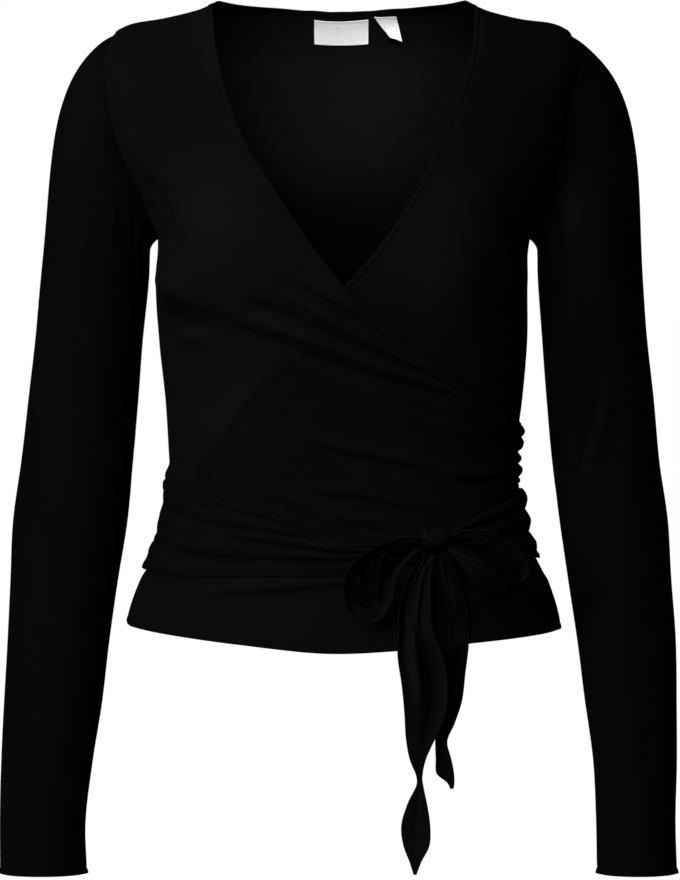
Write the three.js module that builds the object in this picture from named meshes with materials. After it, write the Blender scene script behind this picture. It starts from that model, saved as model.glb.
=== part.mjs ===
// A cropped wrap top in fine black jersey, with the filled-out shape it has when worn.
// Millimetres. +Z is up, the front faces -Y, and +X is the side on the viewer's right.
// The origin lies midway between the two points where neck and shoulder seams meet.
import * as THREE from "three";

const WALL = 1.2;
const SEAM_GAP = 0.3;
const SHOULDER_SLOPE = 0.2;
const NECK_DROP = { depth: 6.5, start: 93, reach: 8 };
const SHOULDER_SOFTNESS = 24;
const NECK_HALF_WIDTH = 97;
const RIDGE_Y = 4;
const RIDGE_ROUNDNESS = { front: 130, back: 230 };
const BUST = { x: 74, z: -182, spread: 54, rise: 15 };
const OUTER_LAYER = 3.0;
const SINGLE_LAYER = 1.0;

const BLACK_JERSEY = { color: 0x17171a, roughness: 0.82, metalness: 0 };
const TIE_JERSEY = { color: 0x1a1a1d, roughness: 0.8, metalness: 0 };
const WHITE_LABEL = { color: 0xf0f0f2, roughness: 0.6, metalness: 0 };

// The general figure inside the cloth, one row for each level: how far it reaches to each side.
const FIGURE = [
  { z: 60, left: 170, right: 169, front: 46, back: 52, square: 3.6 },
  { z: 0, left: 172, right: 170, front: 52, back: 62, square: 3.8 },
  { z: -40, left: 178, right: 174, front: 62, back: 76, square: 4.0 },
  { z: -84, left: 178, right: 172, front: 78, back: 87, square: 3.7 },
  { z: -120, left: 167, right: 165, front: 90, back: 92, square: 3.1 },
  { z: -150, left: 149, right: 150, front: 97, back: 93, square: 2.7 },
  { z: -179, left: 136, right: 139.4, front: 101, back: 92, square: 2.5 },
  { z: -210, left: 138.4, right: 138.2, front: 101, back: 90, square: 2.4 },
  { z: -255, left: 136.2, right: 138, front: 96, back: 85, square: 2.35 },
  { z: -300, left: 131.5, right: 134.2, front: 91, back: 81, square: 2.3 },
  { z: -343, left: 128.8, right: 129, front: 88, back: 79, square: 2.3 },
  { z: -372, left: 126.4, right: 132, front: 87, back: 79, square: 2.3 },
  { z: -404, left: 133, right: 138, front: 88, back: 84, square: 2.3 },
  { z: -419, left: 139.5, right: 144.6, front: 90, back: 88, square: 2.3 },
  { z: -434, left: 149.5, right: 153.5, front: 94, back: 95, square: 2.3 },
  { z: -466, left: 160, right: 162.6, front: 99, back: 103, square: 2.3 },
  { z: -520, left: 166, right: 170, front: 102, back: 108, square: 2.3 },
];

// The armhole seam, seen from the side as an ellipse: turn runs from the shoulder tip over the front.
const ARMHOLE = { centreY: 2, centreZ: -101, halfDepth: 46, halfHeight: 74 };
const ARMHOLE_REACH = [
  { turn: 0, left: 168, right: 170 },
  { turn: 33, left: 172, right: 169.5 },
  { turn: 60, left: 175, right: 166 },
  { turn: 80, left: 174, right: 163 },
  { turn: 99, left: 166, right: 160 },
  { turn: 111, left: 157, right: 157 },
  { turn: 129, left: 149.6, right: 149 },
  { turn: 180, left: 138, right: 140.5 },
  { turn: 228, left: 150, right: 150 },
  { turn: 270, left: 166, right: 165 },
  { turn: 310, left: 171, right: 170 },
  { turn: 360, left: 168, right: 170 },
];

// The sleeves below the armhole: the middle and the half width of each level, on both sides.
const SLEEVE = [
  { z: -188, leftX: -183.8, leftHalf: 39.8, rightX: 185.4, rightHalf: 38.6, y: 2, depth: 44 },
  { z: -209, leftX: -185.3, leftHalf: 40.3, rightX: 186.2, rightHalf: 39.0, y: 3, depth: 43.5 },
  { z: -254, leftX: -189.8, leftHalf: 40.0, rightX: 189.6, rightHalf: 38.8, y: 5, depth: 42 },
  { z: -299, leftX: -194.2, leftHalf: 41.3, rightX: 193.9, rightHalf: 39.5, y: 6, depth: 41 },
  { z: -344, leftX: -198.8, leftHalf: 42.0, rightX: 198.0, rightHalf: 39.9, y: 6, depth: 41 },
  { z: -389, leftX: -204.0, leftHalf: 42.6, rightX: 204.0, rightHalf: 40.6, y: 4, depth: 41 },
  { z: -434, leftX: -208.5, leftHalf: 39.9, rightX: 208.5, rightHalf: 38.4, y: 0, depth: 39 },
  { z: -479, leftX: -212.6, leftHalf: 38.0, rightX: 213.4, rightHalf: 36.5, y: -5, depth: 37 },
  { z: -524, leftX: -216.4, leftHalf: 36.5, rightX: 216.4, rightHalf: 34.3, y: -10, depth: 34 },
  { z: -569, leftX: -220.9, leftHalf: 33.5, rightX: 219.4, rightHalf: 31.4, y: -15, depth: 31.5 },
  { z: -614, leftX: -223.9, leftHalf: 31.3, rightX: 219.8, rightHalf: 29.4, y: -20, depth: 30 },
  { z: -651.5, leftX: -223.1, leftHalf: 32.0, rightX: 220.5, rightHalf: 29.4, y: -24, depth: 30.5 },
];
const SLEEVE_COLUMNS = 24;
const CAP_RINGS = 6;
const ARM_RINGS = 10;
const CAP_PULL = { left: 162, right: 180, low: 18, arrive: 1.14, fall: 0.14, lowFall: 0.9 };

// Neck edges as they are seen from the front.
const OUTER_NECK = [
  { x: -97.2, z: -1.2 }, { x: -95.2, z: -14.6 }, { x: -94.1, z: -28.8 }, { x: -91.9, z: -44.6 },
  { x: -87.1, z: -64.1 }, { x: -79.9, z: -84.9 }, { x: -70.1, z: -109.8 }, { x: -56.5, z: -130.6 },
  { x: -42.5, z: -153.7 }, { x: -30.2, z: -171.7 }, { x: -16.5, z: -190.7 }, { x: 1.1, z: -212 },
  { x: 28.3, z: -237 }, { x: 55.6, z: -260 }, { x: 76.7, z: -273.8 }, { x: 105.5, z: -297 },
];
const UNDER_NECK = [
  { x: 97.2, z: -2 }, { x: 98, z: -14 }, { x: 96.7, z: -31.8 }, { x: 92.3, z: -53.7 },
  { x: 85.5, z: -74.1 }, { x: 70.2, z: -109.4 }, { x: 60.1, z: -131.3 }, { x: 48.3, z: -152.9 },
  { x: 36.5, z: -171.2 }, { x: 20.1, z: -192.8 }, { x: 1.1, z: -213.5 }, { x: -17, z: -237 },
  { x: -35.9, z: -262.4 }, { x: -54.3, z: -278.6 }, { x: -73, z: -301.8 }, { x: -87, z: -322.8 },
  { x: -103.6, z: -344 },
];
const BACK_NECK = [
  { x: 97, z: -1.5 }, { x: 80, z: -1.8 }, { x: 50, z: -4.2 }, { x: 20, z: -6.2 }, { x: 0, z: -6.6 },
  { x: -20, z: -6.2 }, { x: -50, z: -4.4 }, { x: -80, z: -2 }, { x: -97, z: -1.2 },
];

// The hem's height round the body. Angles run from the front centre: + is the viewer's right.
const HEM = [
  { around: -180, z: -462 }, { around: -130, z: -462 }, { around: -90, z: -465 },
  { around: -70, z: -468.5 }, { around: -40, z: -476 }, { around: -8, z: -482 },
  { around: 20, z: -480.5 }, { around: 50, z: -475 }, { around: 90, z: -468 },
  { around: 130, z: -464 }, { around: 180, z: -462 },
];

// Drape folds of the outer front, from start over a middle point to end, with their width and rise.
const OUTER_FOLDS = [
  { from: [-66, -204], by: [-16, -222], to: [54, -262], width: 7.0, rise: 3.2 },
  { from: [-82, -223], by: [-16, -238], to: [72, -279], width: 6.5, rise: 4.6 },
  { from: [-94, -238], by: [-18, -260], to: [86, -296], width: 7.0, rise: 5.2 },
  { from: [-34, -320], by: [16, -331], to: [78, -351], width: 8.0, rise: 2.6 },
  { from: [-72, -368], by: [-36, -358], to: [50, -392], width: 7.0, rise: 2.6 },
  { from: [-34, -350], by: [24, -362], to: [88, -376], width: 8.0, rise: 2.6 },
];

// Ties where they lie on the body: upper and lower edge, and how far out from the figure.
const TIE_ACROSS_FRONT = [
  { around: -91, top: -358, bottom: -427, layer: 6.6 },
  { around: -78, top: -361, bottom: -428, layer: 6.5 },
  { around: -62, top: -366, bottom: -429, layer: 6.0 },
  { around: -46, top: -373, bottom: -428, layer: 5.6 },
  { around: -32, top: -380, bottom: -427, layer: 5.6 },
  { around: -16, top: -389, bottom: -427, layer: 5.6 },
  { around: 2, top: -396, bottom: -426, layer: 5.8 },
  { around: 18, top: -397, bottom: -423, layer: 6.2 },
  { around: 33, top: -397, bottom: -416, layer: 7.4 },
];
const TIE_ROUND_BACK = [
  { around: 83, top: -318, bottom: -360, layer: 3.0 },
  { around: 100, top: -322, bottom: -363, layer: 4.6 },
  { around: 122, top: -330, bottom: -371, layer: 6.0 },
  { around: 150, top: -339, bottom: -380, layer: 5.6 },
  { around: 180, top: -347, bottom: -390, layer: 5.6 },
  { around: 210, top: -353, bottom: -402, layer: 5.6 },
  { around: 240, top: -356, bottom: -416, layer: 6.0 },
  { around: 268, top: -358, bottom: -427, layer: 6.6 },
];
const UNDER_TIE_BACK = [
  { around: -77, top: -358, bottom: -388, layer: 0 },
  { around: -84, top: -355, bottom: -386, layer: 1.2 },
  { around: -91, top: -354, bottom: -385, layer: 2.3 },
  { around: -112, top: -354, bottom: -388, layer: 2.7 },
  { around: -130, top: -356, bottom: -391, layer: 2.9 },
  { around: -155, top: -361, bottom: -398, layer: 2.9 },
  { around: -180, top: -365, bottom: -405, layer: 2.9 },
  { around: -205, top: -367, bottom: -411, layer: 2.9 },
  { around: -232, top: -368, bottom: -416, layer: 3.0 },
  { around: -255, top: -367, bottom: -419, layer: 3.1 },
];
const UNDER_TIE_FRONT = [
  { around: 104, top: -367, bottom: -419, layer: 3.0 },
  { around: 88, top: -366, bottom: -419, layer: 5.0 },
  { around: 74, top: -370, bottom: -416, layer: 5.0 },
  { around: 62, top: -377, bottom: -413, layer: 5.0 },
  { around: 52, top: -385, bottom: -411, layer: 5.6 },
  { around: 44.5, top: -392, bottom: -410, layer: 8.6 },
];

// The bow: each row gives the two edges of the ribbon, and how far its middle is pushed out.
const KNOT = { x: 67.9, y: -94, z: -399.1, halfWidth: 10.2, halfDepth: 9.5, halfHeight: 10.6 };
const LEFT_LOOP = [
  { near: [58.1, -101, -397.2], far: [56.8, -93.5, -400], bulge: 0 },
  { near: [40.8, -112, -397.1], far: [43.9, -101, -404.5], bulge: 1 },
  { near: [21.3, -121, -404.4], far: [31.2, -104, -414.1], bulge: 2.5 },
  { near: [7.7, -124, -413.9], far: [23.4, -104, -423.9], bulge: 3 },
  { near: [1.4, -124, -424.6], far: [19.5, -104, -431.7], bulge: 3.5 },
  { near: [0.9, -123, -437.3], far: [18.5, -105, -439.4], bulge: 3.5 },
  { near: [4.8, -122, -448.1], far: [20.4, -105, -445.3], bulge: 3 },
  { near: [13.5, -121, -455.9], far: [25.3, -106, -449.1], bulge: 2 },
  { near: [22.3, -120, -458.9], far: [30.2, -106, -448.2], bulge: 1.5 },
  { near: [30.1, -120, -452.1], far: [34.1, -107, -442.2], bulge: 1 },
  { near: [35.9, -119, -441.5], far: [37, -107, -433.5], bulge: 0.5 },
  { near: [38.8, -118, -428.9], far: [40.9, -107, -423.7], bulge: 0 },
  { near: [45.7, -112, -416.6], far: [46.8, -103, -414.2], bulge: 0 },
  { near: [58.8, -102, -405.4], far: [58.1, -96.5, -404.8], bulge: 0 },
];
const RIGHT_LOOP = [
  { near: [77.2, -100.5, -396.7], far: [78.5, -94, -397.6], bulge: 0 },
  { near: [91.4, -110, -391.4], far: [91.8, -93, -395.2], bulge: 1 },
  { near: [103.9, -116, -390.6], far: [103.7, -88, -400.3], bulge: 2 },
  { near: [115.6, -115, -395], far: [114.6, -84, -407.4], bulge: 2.5 },
  { near: [127.4, -111, -403], far: [125.5, -80, -415.5], bulge: 2.5 },
  { near: [135.8, -107, -412], far: [132.5, -77, -423.5], bulge: 2.5 },
  { near: [137.4, -104, -420], far: [133.5, -77, -432.4], bulge: 2 },
  { near: [132.5, -104, -427.8], far: [127.5, -79, -439.1], bulge: 2 },
  { near: [120.7, -108, -428.5], far: [115.6, -85, -441.7], bulge: 2.5 },
  { near: [109.9, -112, -421], far: [102.6, -93, -438.3], bulge: 3 },
  { near: [101.1, -114, -412.6], far: [93.7, -99, -429.1], bulge: 2 },
  { near: [91.4, -111, -405.9], far: [87.8, -99, -418.3], bulge: 1 },
  { near: [77.2, -102, -403], far: [78.1, -96, -404.8], bulge: 0 },
];
const LEFT_TAIL = [
  { near: [60.4, -101, -406.5], far: [68.3, -98, -410.5], bulge: 1.5 },
  { near: [49.6, -109, -423.6], far: [65.3, -104, -422.9], bulge: 4 },
  { near: [42.8, -113, -440.9], far: [65.2, -108, -440.2], bulge: 5 },
  { near: [40.8, -113, -462.3], far: [66.2, -110, -462.5], bulge: 6 },
  { near: [40.8, -113, -483.8], far: [72, -111, -483.9], bulge: 7 },
  { near: [43.8, -113, -505.2], far: [73.5, -111, -505.4], bulge: 7 },
  { near: [45.7, -113, -525.7], far: [71.1, -111, -525.9], bulge: 6 },
  { near: [46.7, -113, -543.3], far: [65.2, -111, -543.5], bulge: 5 },
  { near: [49.6, -113, -558.9], far: [61.3, -111, -559.1], bulge: 3 },
  { near: [54.5, -113, -569.6], far: [58.9, -110, -569.9], bulge: 1 },
  { near: [54.5, -111, -576.7], far: [58.9, -113, -576.5], bulge: 0.5 },
  { near: [47.7, -110, -591.4], far: [61.8, -114, -591], bulge: 1.5 },
  { near: [43.3, -110, -607.1], far: [64.2, -114, -606.7], bulge: 2.5 },
  { near: [44.8, -110, -621.8], far: [63.8, -114, -621.3], bulge: 2.5 },
  { near: [49.7, -111, -634.4], far: [57.5, -113, -634.1], bulge: 1 },
  { near: [52.6, -112, -643.1], far: [54.2, -112, -643.1], bulge: 0 },
];
const RIGHT_TAIL = [
  { near: [68.8, -96.6, -410.9], far: [76.4, -94.6, -407.3], bulge: 0.5 },
  { near: [65.3, -101, -426], far: [85, -96, -426.3], bulge: 1.5 },
  { near: [64.3, -103, -443.5], far: [89.3, -98, -443.8], bulge: 2 },
  { near: [66.3, -103, -461.1], far: [91.3, -98, -461.4], bulge: 2.5 },
  { near: [67.3, -103, -478.7], far: [89.8, -99, -479], bulge: 2.5 },
  { near: [67.3, -104, -498.1], far: [86.9, -100, -498.5], bulge: 2.5 },
  { near: [67.3, -105, -517.6], far: [84.9, -102, -517.9], bulge: 2.5 },
  { near: [67.3, -106, -533.2], far: [80, -103, -533.4], bulge: 2 },
  { near: [68.2, -107, -545.8], far: [77.1, -104, -546.1], bulge: 1.5 },
  { near: [68.7, -107, -558.5], far: [80, -104, -558.8], bulge: 1.5 },
  { near: [69.2, -107, -569.3], far: [82, -104, -569.5], bulge: 1.5 },
  { near: [77, -106, -576.2], far: [82, -104.5, -576.3], bulge: 0.5 },
  { near: [79.6, -105.5, -580.7], far: [81.2, -105, -580.7], bulge: 0 },
];

// The neck label and the care tag hang from the back neck edge, inside.
const LABEL = { left: -21, right: 20, top: -13.5, bottom: -31, wall: 0.6, standOff: 1.4 };
const TAG = { left: 25.5, right: 41, top: -12, bottom: -25, wall: 0.5, standOff: 1.2, curl: 5, lean: 5 };

function smoothstep(low, high, value) {
  const t = Math.min(1, Math.max(0, (value - low) / (high - low)));
  return t * t * (3 - 2 * t);
}

// Reads one column of a table at any place between its rows, along a smooth curve.
function read(rows, key, place, column) {
  const rising = rows[rows.length - 1][key] > rows[0][key];
  const at = rising ? place : -place;
  const keys = rows.map((row) => (rising ? row[key] : -row[key]));
  const last = rows.length - 1;
  let i = 0;
  while (i < last - 1 && at > keys[i + 1]) i += 1;
  const slope = (k) => {
    const a = Math.max(0, k - 1);
    const b = Math.min(last, k + 1);
    return (rows[b][column] - rows[a][column]) / (keys[b] - keys[a]);
  };
  const span = keys[i + 1] - keys[i];
  const t = Math.min(1, Math.max(0, (at - keys[i]) / span));
  const t2 = t * t;
  const t3 = t2 * t;
  return (
    rows[i][column] * (2 * t3 - 3 * t2 + 1) +
    rows[i + 1][column] * (3 * t2 - 2 * t3) +
    slope(i) * span * (t3 - 2 * t2 + t) +
    slope(i + 1) * span * (t3 - t2)
  );
}

// The figure as a field: negative inside, zero on its surface.
function shoulderHeight(x, y) {
  const beyond = Math.max(0, Math.abs(x) - NECK_HALF_WIDTH);
  const fromNeck = Math.max(0, Math.abs(x) - NECK_DROP.start);
  const drop = NECK_DROP.depth * (1 - Math.exp(-fromNeck / NECK_DROP.reach));
  const roundness = y < RIDGE_Y ? RIDGE_ROUNDNESS.front : RIDGE_ROUNDNESS.back;
  return -drop - SHOULDER_SLOPE * beyond - (y - RIDGE_Y) ** 2 / roundness;
}

function bustRise(point) {
  const forward = smoothstep(0, 60, -point.y);
  const near = (side) =>
    Math.exp(-((point.x - side * BUST.x) ** 2 + (point.z - BUST.z) ** 2) / BUST.spread ** 2);
  return BUST.rise * forward * (near(-1) + near(1));
}

function figureField(point) {
  const column = (name) => read(FIGURE, "z", point.z, name);
  const reachX = column(point.x < 0 ? "left" : "right");
  const reachY = column(point.y < 0 ? "front" : "back");
  const square = column("square");
  const ratio =
    (Math.abs(point.x) / reachX) ** square + (Math.abs(point.y) / reachY) ** square;
  const side = (ratio ** (1 / square) - 1) * Math.min(reachX, reachY) - bustRise(point);
  const top = point.z - shoulderHeight(point.x, point.y);
  const h = Math.min(1, Math.max(0, 0.5 + (side - top) / (2 * SHOULDER_SOFTNESS)));
  return top + (side - top) * h + SHOULDER_SOFTNESS * h * (1 - h);
}

function figureSlope(point) {
  const step = 0.05;
  const slope = new THREE.Vector3();
  for (const axis of ["x", "y", "z"]) {
    const ahead = point.clone();
    const behind = point.clone();
    ahead[axis] += step;
    behind[axis] -= step;
    slope[axis] = (figureField(ahead) - figureField(behind)) / (2 * step);
  }
  return slope;
}

const figureNormal = (point) => figureSlope(point).normalize();

function ontoFigure(point) {
  const moved = point.clone();
  for (let i = 0; i < 12; i += 1) {
    const slope = figureSlope(moved);
    moved.addScaledVector(slope, -figureField(moved) / Math.max(0.05, slope.lengthSq()));
  }
  return moved;
}

// Finds the surface on the straight line from an inside point to an outside one.
function between(inside, outside) {
  const low = inside.clone();
  const high = outside.clone();
  for (let i = 0; i < 40; i += 1) {
    const middle = low.clone().add(high).multiplyScalar(0.5);
    if (figureField(middle) > 0) high.copy(middle);
    else low.copy(middle);
  }
  return low;
}

const frontPoint = ({ x, z }) =>
  between(new THREE.Vector3(x, RIDGE_Y, z), new THREE.Vector3(x, -220, z));
const backPoint = ({ x, z }) =>
  between(new THREE.Vector3(x, RIDGE_Y, z), new THREE.Vector3(x, 220, z));

function aroundPoint(degrees, z) {
  const angle = THREE.MathUtils.degToRad(degrees);
  const out = new THREE.Vector3(Math.sin(angle) * 260, -Math.cos(angle) * 260, z);
  return between(new THREE.Vector3(0, 0, z), out);
}

function hemHeight(degrees) {
  const turned = degrees > 180 ? degrees - 360 : degrees;
  return read(HEM, "around", turned, "z");
}

function armholePoint(side, turn) {
  const angle = THREE.MathUtils.degToRad(turn);
  const reach = read(ARMHOLE_REACH, "turn", turn, side < 0 ? "left" : "right");
  const y = ARMHOLE.centreY - ARMHOLE.halfDepth * Math.sin(angle);
  const z = ARMHOLE.centreZ + ARMHOLE.halfHeight * Math.cos(angle);
  return ontoFigure(new THREE.Vector3(side * reach, y, z));
}

// A smooth path through points, which can be asked for any share of its length.
function path(points) {
  const curve = new THREE.CatmullRomCurve3(points, false, "centripetal");
  curve.arcLengthDivisions = 400;
  return (share) => curve.getPointAt(Math.min(1, Math.max(0, share)));
}

// Joins paths that meet end to end, each with a stated share of the whole.
function chain(links) {
  return (share) => {
    let start = 0;
    for (const link of links) {
      if (share <= start + link.share + 1e-9) return link.path((share - start) / link.share);
      start += link.share;
    }
    return links[links.length - 1].path(1);
  };
}

const steps = (count, make) => Array.from({ length: count + 1 }, (_, i) => make(i / count));
const shoulderTip = (side) => armholePoint(side, 0);

function shoulderSeam(side, neckPoint) {
  const tip = shoulderTip(side);
  return path([
    neckPoint,
    ...[0.25, 0.5, 0.75].map((t) => ontoFigure(neckPoint.clone().lerp(tip, t))),
    tip,
  ]);
}

function armholeSeam(side, fromTurn, toTurn) {
  return path(steps(14, (t) => armholePoint(side, fromTurn + (toTurn - fromTurn) * t)));
}

function sideSeam(side) {
  const top = armholePoint(side, 180);
  const bottomZ = hemHeight(side * 90);
  const lines = steps(12, (t) => top.z + (bottomZ - top.z) * t);
  return path([top, ...lines.slice(1).map((z) => aroundPoint(side * 90, z))]);
}

function hemLine(fromAngle, toAngle) {
  return path(
    steps(16, (t) => {
      const angle = fromAngle + (toAngle - fromAngle) * t;
      return aroundPoint(angle, hemHeight(angle));
    }),
  );
}

// Fills the space between four paths, then lays every point on the figure.
function fillOnFigure({ top, bottom, left, right, columns, rows, crowd = 1 }) {
  const grid = [];
  for (let j = 0; j <= rows; j += 1) {
    const v = (j / rows) ** crowd;
    const line = [];
    for (let i = 0; i <= columns; i += 1) {
      const u = i / columns;
      const point = new THREE.Vector3()
        .addScaledVector(top(u), 1 - v)
        .addScaledVector(bottom(u), v)
        .addScaledVector(left(v), 1 - u)
        .addScaledVector(right(v), u)
        .addScaledVector(top(0), -(1 - u) * (1 - v))
        .addScaledVector(top(1), -u * (1 - v))
        .addScaledVector(bottom(0), -(1 - u) * v)
        .addScaledVector(bottom(1), -u * v);
      line.push(ontoFigure(point));
    }
    grid.push(line);
  }
  return grid;
}

// Draws a grid's outermost lines in a little, so that neighbouring pieces stay apart at a seam.
function trimEdges(grid, gap) {
  const rows = grid.length - 1;
  const columns = grid[0].length - 1;
  const draw = (point, towards) =>
    point.addScaledVector(towards.clone().sub(point).normalize(), gap);
  for (let j = 0; j <= rows; j += 1) {
    draw(grid[j][0], grid[j][1]);
    draw(grid[j][columns], grid[j][columns - 1]);
  }
  for (let i = 0; i <= columns; i += 1) {
    draw(grid[0][i], grid[1][i]);
    draw(grid[rows][i], grid[rows - 1][i]);
  }
  return grid;
}

// Moves a grid out from the figure by a layer height that may change from place to place.
function liftedFrom(grid, height) {
  return grid.map((line) =>
    line.map((point, i) => {
      const normal = figureNormal(point);
      const u = i / (line.length - 1);
      return { point: point.clone().addScaledVector(normal, height(point, u)), normal };
    }),
  );
}

// Gives each point of a free grid the direction square to its cloth.
function withOwnNormals(grid, closedRound) {
  const rows = grid.length - 1;
  const count = grid[0].length;
  const pick = (j, i) => {
    const row = grid[Math.min(rows, Math.max(0, j))];
    return row[closedRound ? (i + count) % count : Math.min(count - 1, Math.max(0, i))];
  };
  return grid.map((line, j) =>
    line.map((point, i) => {
      const across = pick(j, i + 1).clone().sub(pick(j, i - 1));
      const down = pick(j + 1, i).clone().sub(pick(j - 1, i));
      return { point: point.clone(), normal: across.cross(down).normalize() };
    }),
  );
}

// Turns a grid of points with normals into one closed wall of even thickness.
function wallOf(grid, thickness, closedRound = false) {
  const rows = grid.length;
  const count = grid[0].length;
  const positions = [];
  for (const side of [0.5, -0.5]) {
    for (const line of grid) {
      for (const { point, normal } of line) {
        const at = point.clone().addScaledVector(normal, side * thickness);
        positions.push(at.x, at.y, at.z);
      }
    }
  }
  const outer = (j, i) => j * count + (i % count);
  const inner = (j, i) => rows * count + outer(j, i);
  const faces = [];
  const length = (a, b) =>
    Math.hypot(...[0, 1, 2].map((n) => positions[3 * a + n] - positions[3 * b + n]));
  const quad = (a, b, c, d) => {
    if (length(a, c) <= length(b, d)) faces.push(a, b, c, a, c, d);
    else faces.push(b, c, d, b, d, a);
  };
  const across = closedRound ? count : count - 1;
  for (let j = 0; j < rows - 1; j += 1) {
    for (let i = 0; i < across; i += 1) {
      quad(outer(j, i), outer(j + 1, i), outer(j + 1, i + 1), outer(j, i + 1));
      quad(inner(j, i), inner(j, i + 1), inner(j + 1, i + 1), inner(j + 1, i));
    }
  }
  for (let i = 0; i < across; i += 1) {
    quad(outer(0, i), outer(0, i + 1), inner(0, i + 1), inner(0, i));
    quad(outer(rows - 1, i + 1), outer(rows - 1, i), inner(rows - 1, i), inner(rows - 1, i + 1));
  }
  if (!closedRound) {
    for (let j = 0; j < rows - 1; j += 1) {
      quad(outer(j + 1, 0), outer(j, 0), inner(j, 0), inner(j + 1, 0));
      quad(outer(j, count - 1), outer(j + 1, count - 1), inner(j + 1, count - 1), inner(j, count - 1));
    }
  }
  return facingOut(positions, faces);
}

// Builds the geometry and turns its faces round if they point inwards.
function facingOut(positions, faces) {
  const corner = (k) => new THREE.Vector3().fromArray(positions, faces[k] * 3);
  let volume = 0;
  for (let k = 0; k < faces.length; k += 3) {
    volume += corner(k).dot(corner(k + 1).cross(corner(k + 2)));
  }
  if (volume < 0) faces.reverse();
  const geometry = new THREE.BufferGeometry();
  geometry.setAttribute("position", new THREE.Float32BufferAttribute(positions, 3));
  geometry.setIndex(faces);
  geometry.computeVertexNormals();
  return geometry;
}

function piece(name, geometry, finish) {
  const mesh = new THREE.Mesh(geometry, new THREE.MeshStandardMaterial(finish));
  mesh.name = name;
  return mesh;
}

// How much a fold lifts the cloth at a place seen from the front.
function foldRise(folds, x, z) {
  let rise = 0;
  for (const fold of folds) {
    let nearest = Infinity;
    let share = 0;
    for (let k = 0; k <= 24; k += 1) {
      const t = k / 24;
      const place = [0, 1].map(
        (n) => (1 - t) ** 2 * fold.from[n] + 2 * t * (1 - t) * fold.by[n] + t * t * fold.to[n],
      );
      const away = Math.hypot(place[0] - x, place[1] - z);
      if (away < nearest) {
        nearest = away;
        share = t;
      }
    }
    const taper = Math.sin(Math.PI * (0.06 + 0.88 * share));
    rise += fold.rise * taper * Math.exp(-((nearest / fold.width) ** 2));
  }
  return rise;
}

function makeBack() {
  const neck = BACK_NECK.map(backPoint);
  const leftNeck = neck[neck.length - 1];
  const rightNeck = neck[0];
  const leftSeam = shoulderSeam(-1, leftNeck);
  const rightSeam = shoulderSeam(1, rightNeck);
  const top = chain([
    { share: 0.22, path: (t) => leftSeam(1 - t) },
    { share: 0.56, path: path([...neck].reverse()) },
    { share: 0.22, path: rightSeam },
  ]);
  const edge = (side) =>
    chain([
      { share: 0.38, path: armholeSeam(side, 360, 180) },
      { share: 0.62, path: sideSeam(side) },
    ]);
  const grid = fillOnFigure({
    top,
    bottom: hemLine(-90, -270),
    left: edge(-1),
    right: edge(1),
    columns: 21,
    rows: 23,
    crowd: 1.15,
  });
  trimEdges(grid, SEAM_GAP / 2);
  return piece("back", wallOf(liftedFrom(grid, () => 0), WALL), BLACK_JERSEY);
}

// A front runs from one shoulder down its neck edge to the other side of the waist.
function makeFront({ name, side, neckLine, endAngle, endTop, columns, rows, height }) {
  const neck = neckLine.map(frontPoint);
  const end = aroundPoint(endAngle, endTop);
  const shoulder = shoulderSeam(side, neck[0]);
  const outerEdge = chain([
    { share: 0.14, path: shoulder },
    { share: 0.32, path: armholeSeam(side, 0, 180) },
    { share: 0.54, path: sideSeam(side) },
  ]);
  const endHem = hemHeight(endAngle);
  const wrapEnd = path(steps(8, (t) => aroundPoint(endAngle, endTop + (endHem - endTop) * t)));
  const grid = fillOnFigure({
    top: path([...neck, end]),
    bottom: hemLine(side * 90, endAngle),
    left: outerEdge,
    right: wrapEnd,
    columns,
    rows,
  });
  trimEdges(grid, SEAM_GAP / 2);
  return piece(name, wallOf(liftedFrom(grid, height), WALL), BLACK_JERSEY);
}

const UNDER_EDGE = UNDER_NECK.slice(10);
const SLIT = { z: -371, half: 16, blend: 10, lift: 4.8 };

// The outer front rises over the under front and comes down to the seams it shares with the back.
function outerHeight(point, u) {
  const underEdgeZ = point.x < UNDER_EDGE[0].x ? read(UNDER_EDGE, "x", point.x, "z") : 0;
  const covered = 1 - smoothstep(underEdgeZ + 4, underEdgeZ + 30, point.z);
  const base = SINGLE_LAYER + (OUTER_LAYER - SINGLE_LAYER) * covered;
  const seamRise = smoothstep(0, 0.1, u);
  const inSlit = smoothstep(SLIT.half + SLIT.blend, SLIT.half, Math.abs(point.z - SLIT.z));
  const lift = SLIT.lift * inSlit * smoothstep(-92, -112, point.x);
  const folds = foldRise(OUTER_FOLDS, point.x, point.z);
  return Math.max(base * seamRise, lift) + folds * seamRise;
}

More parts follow.
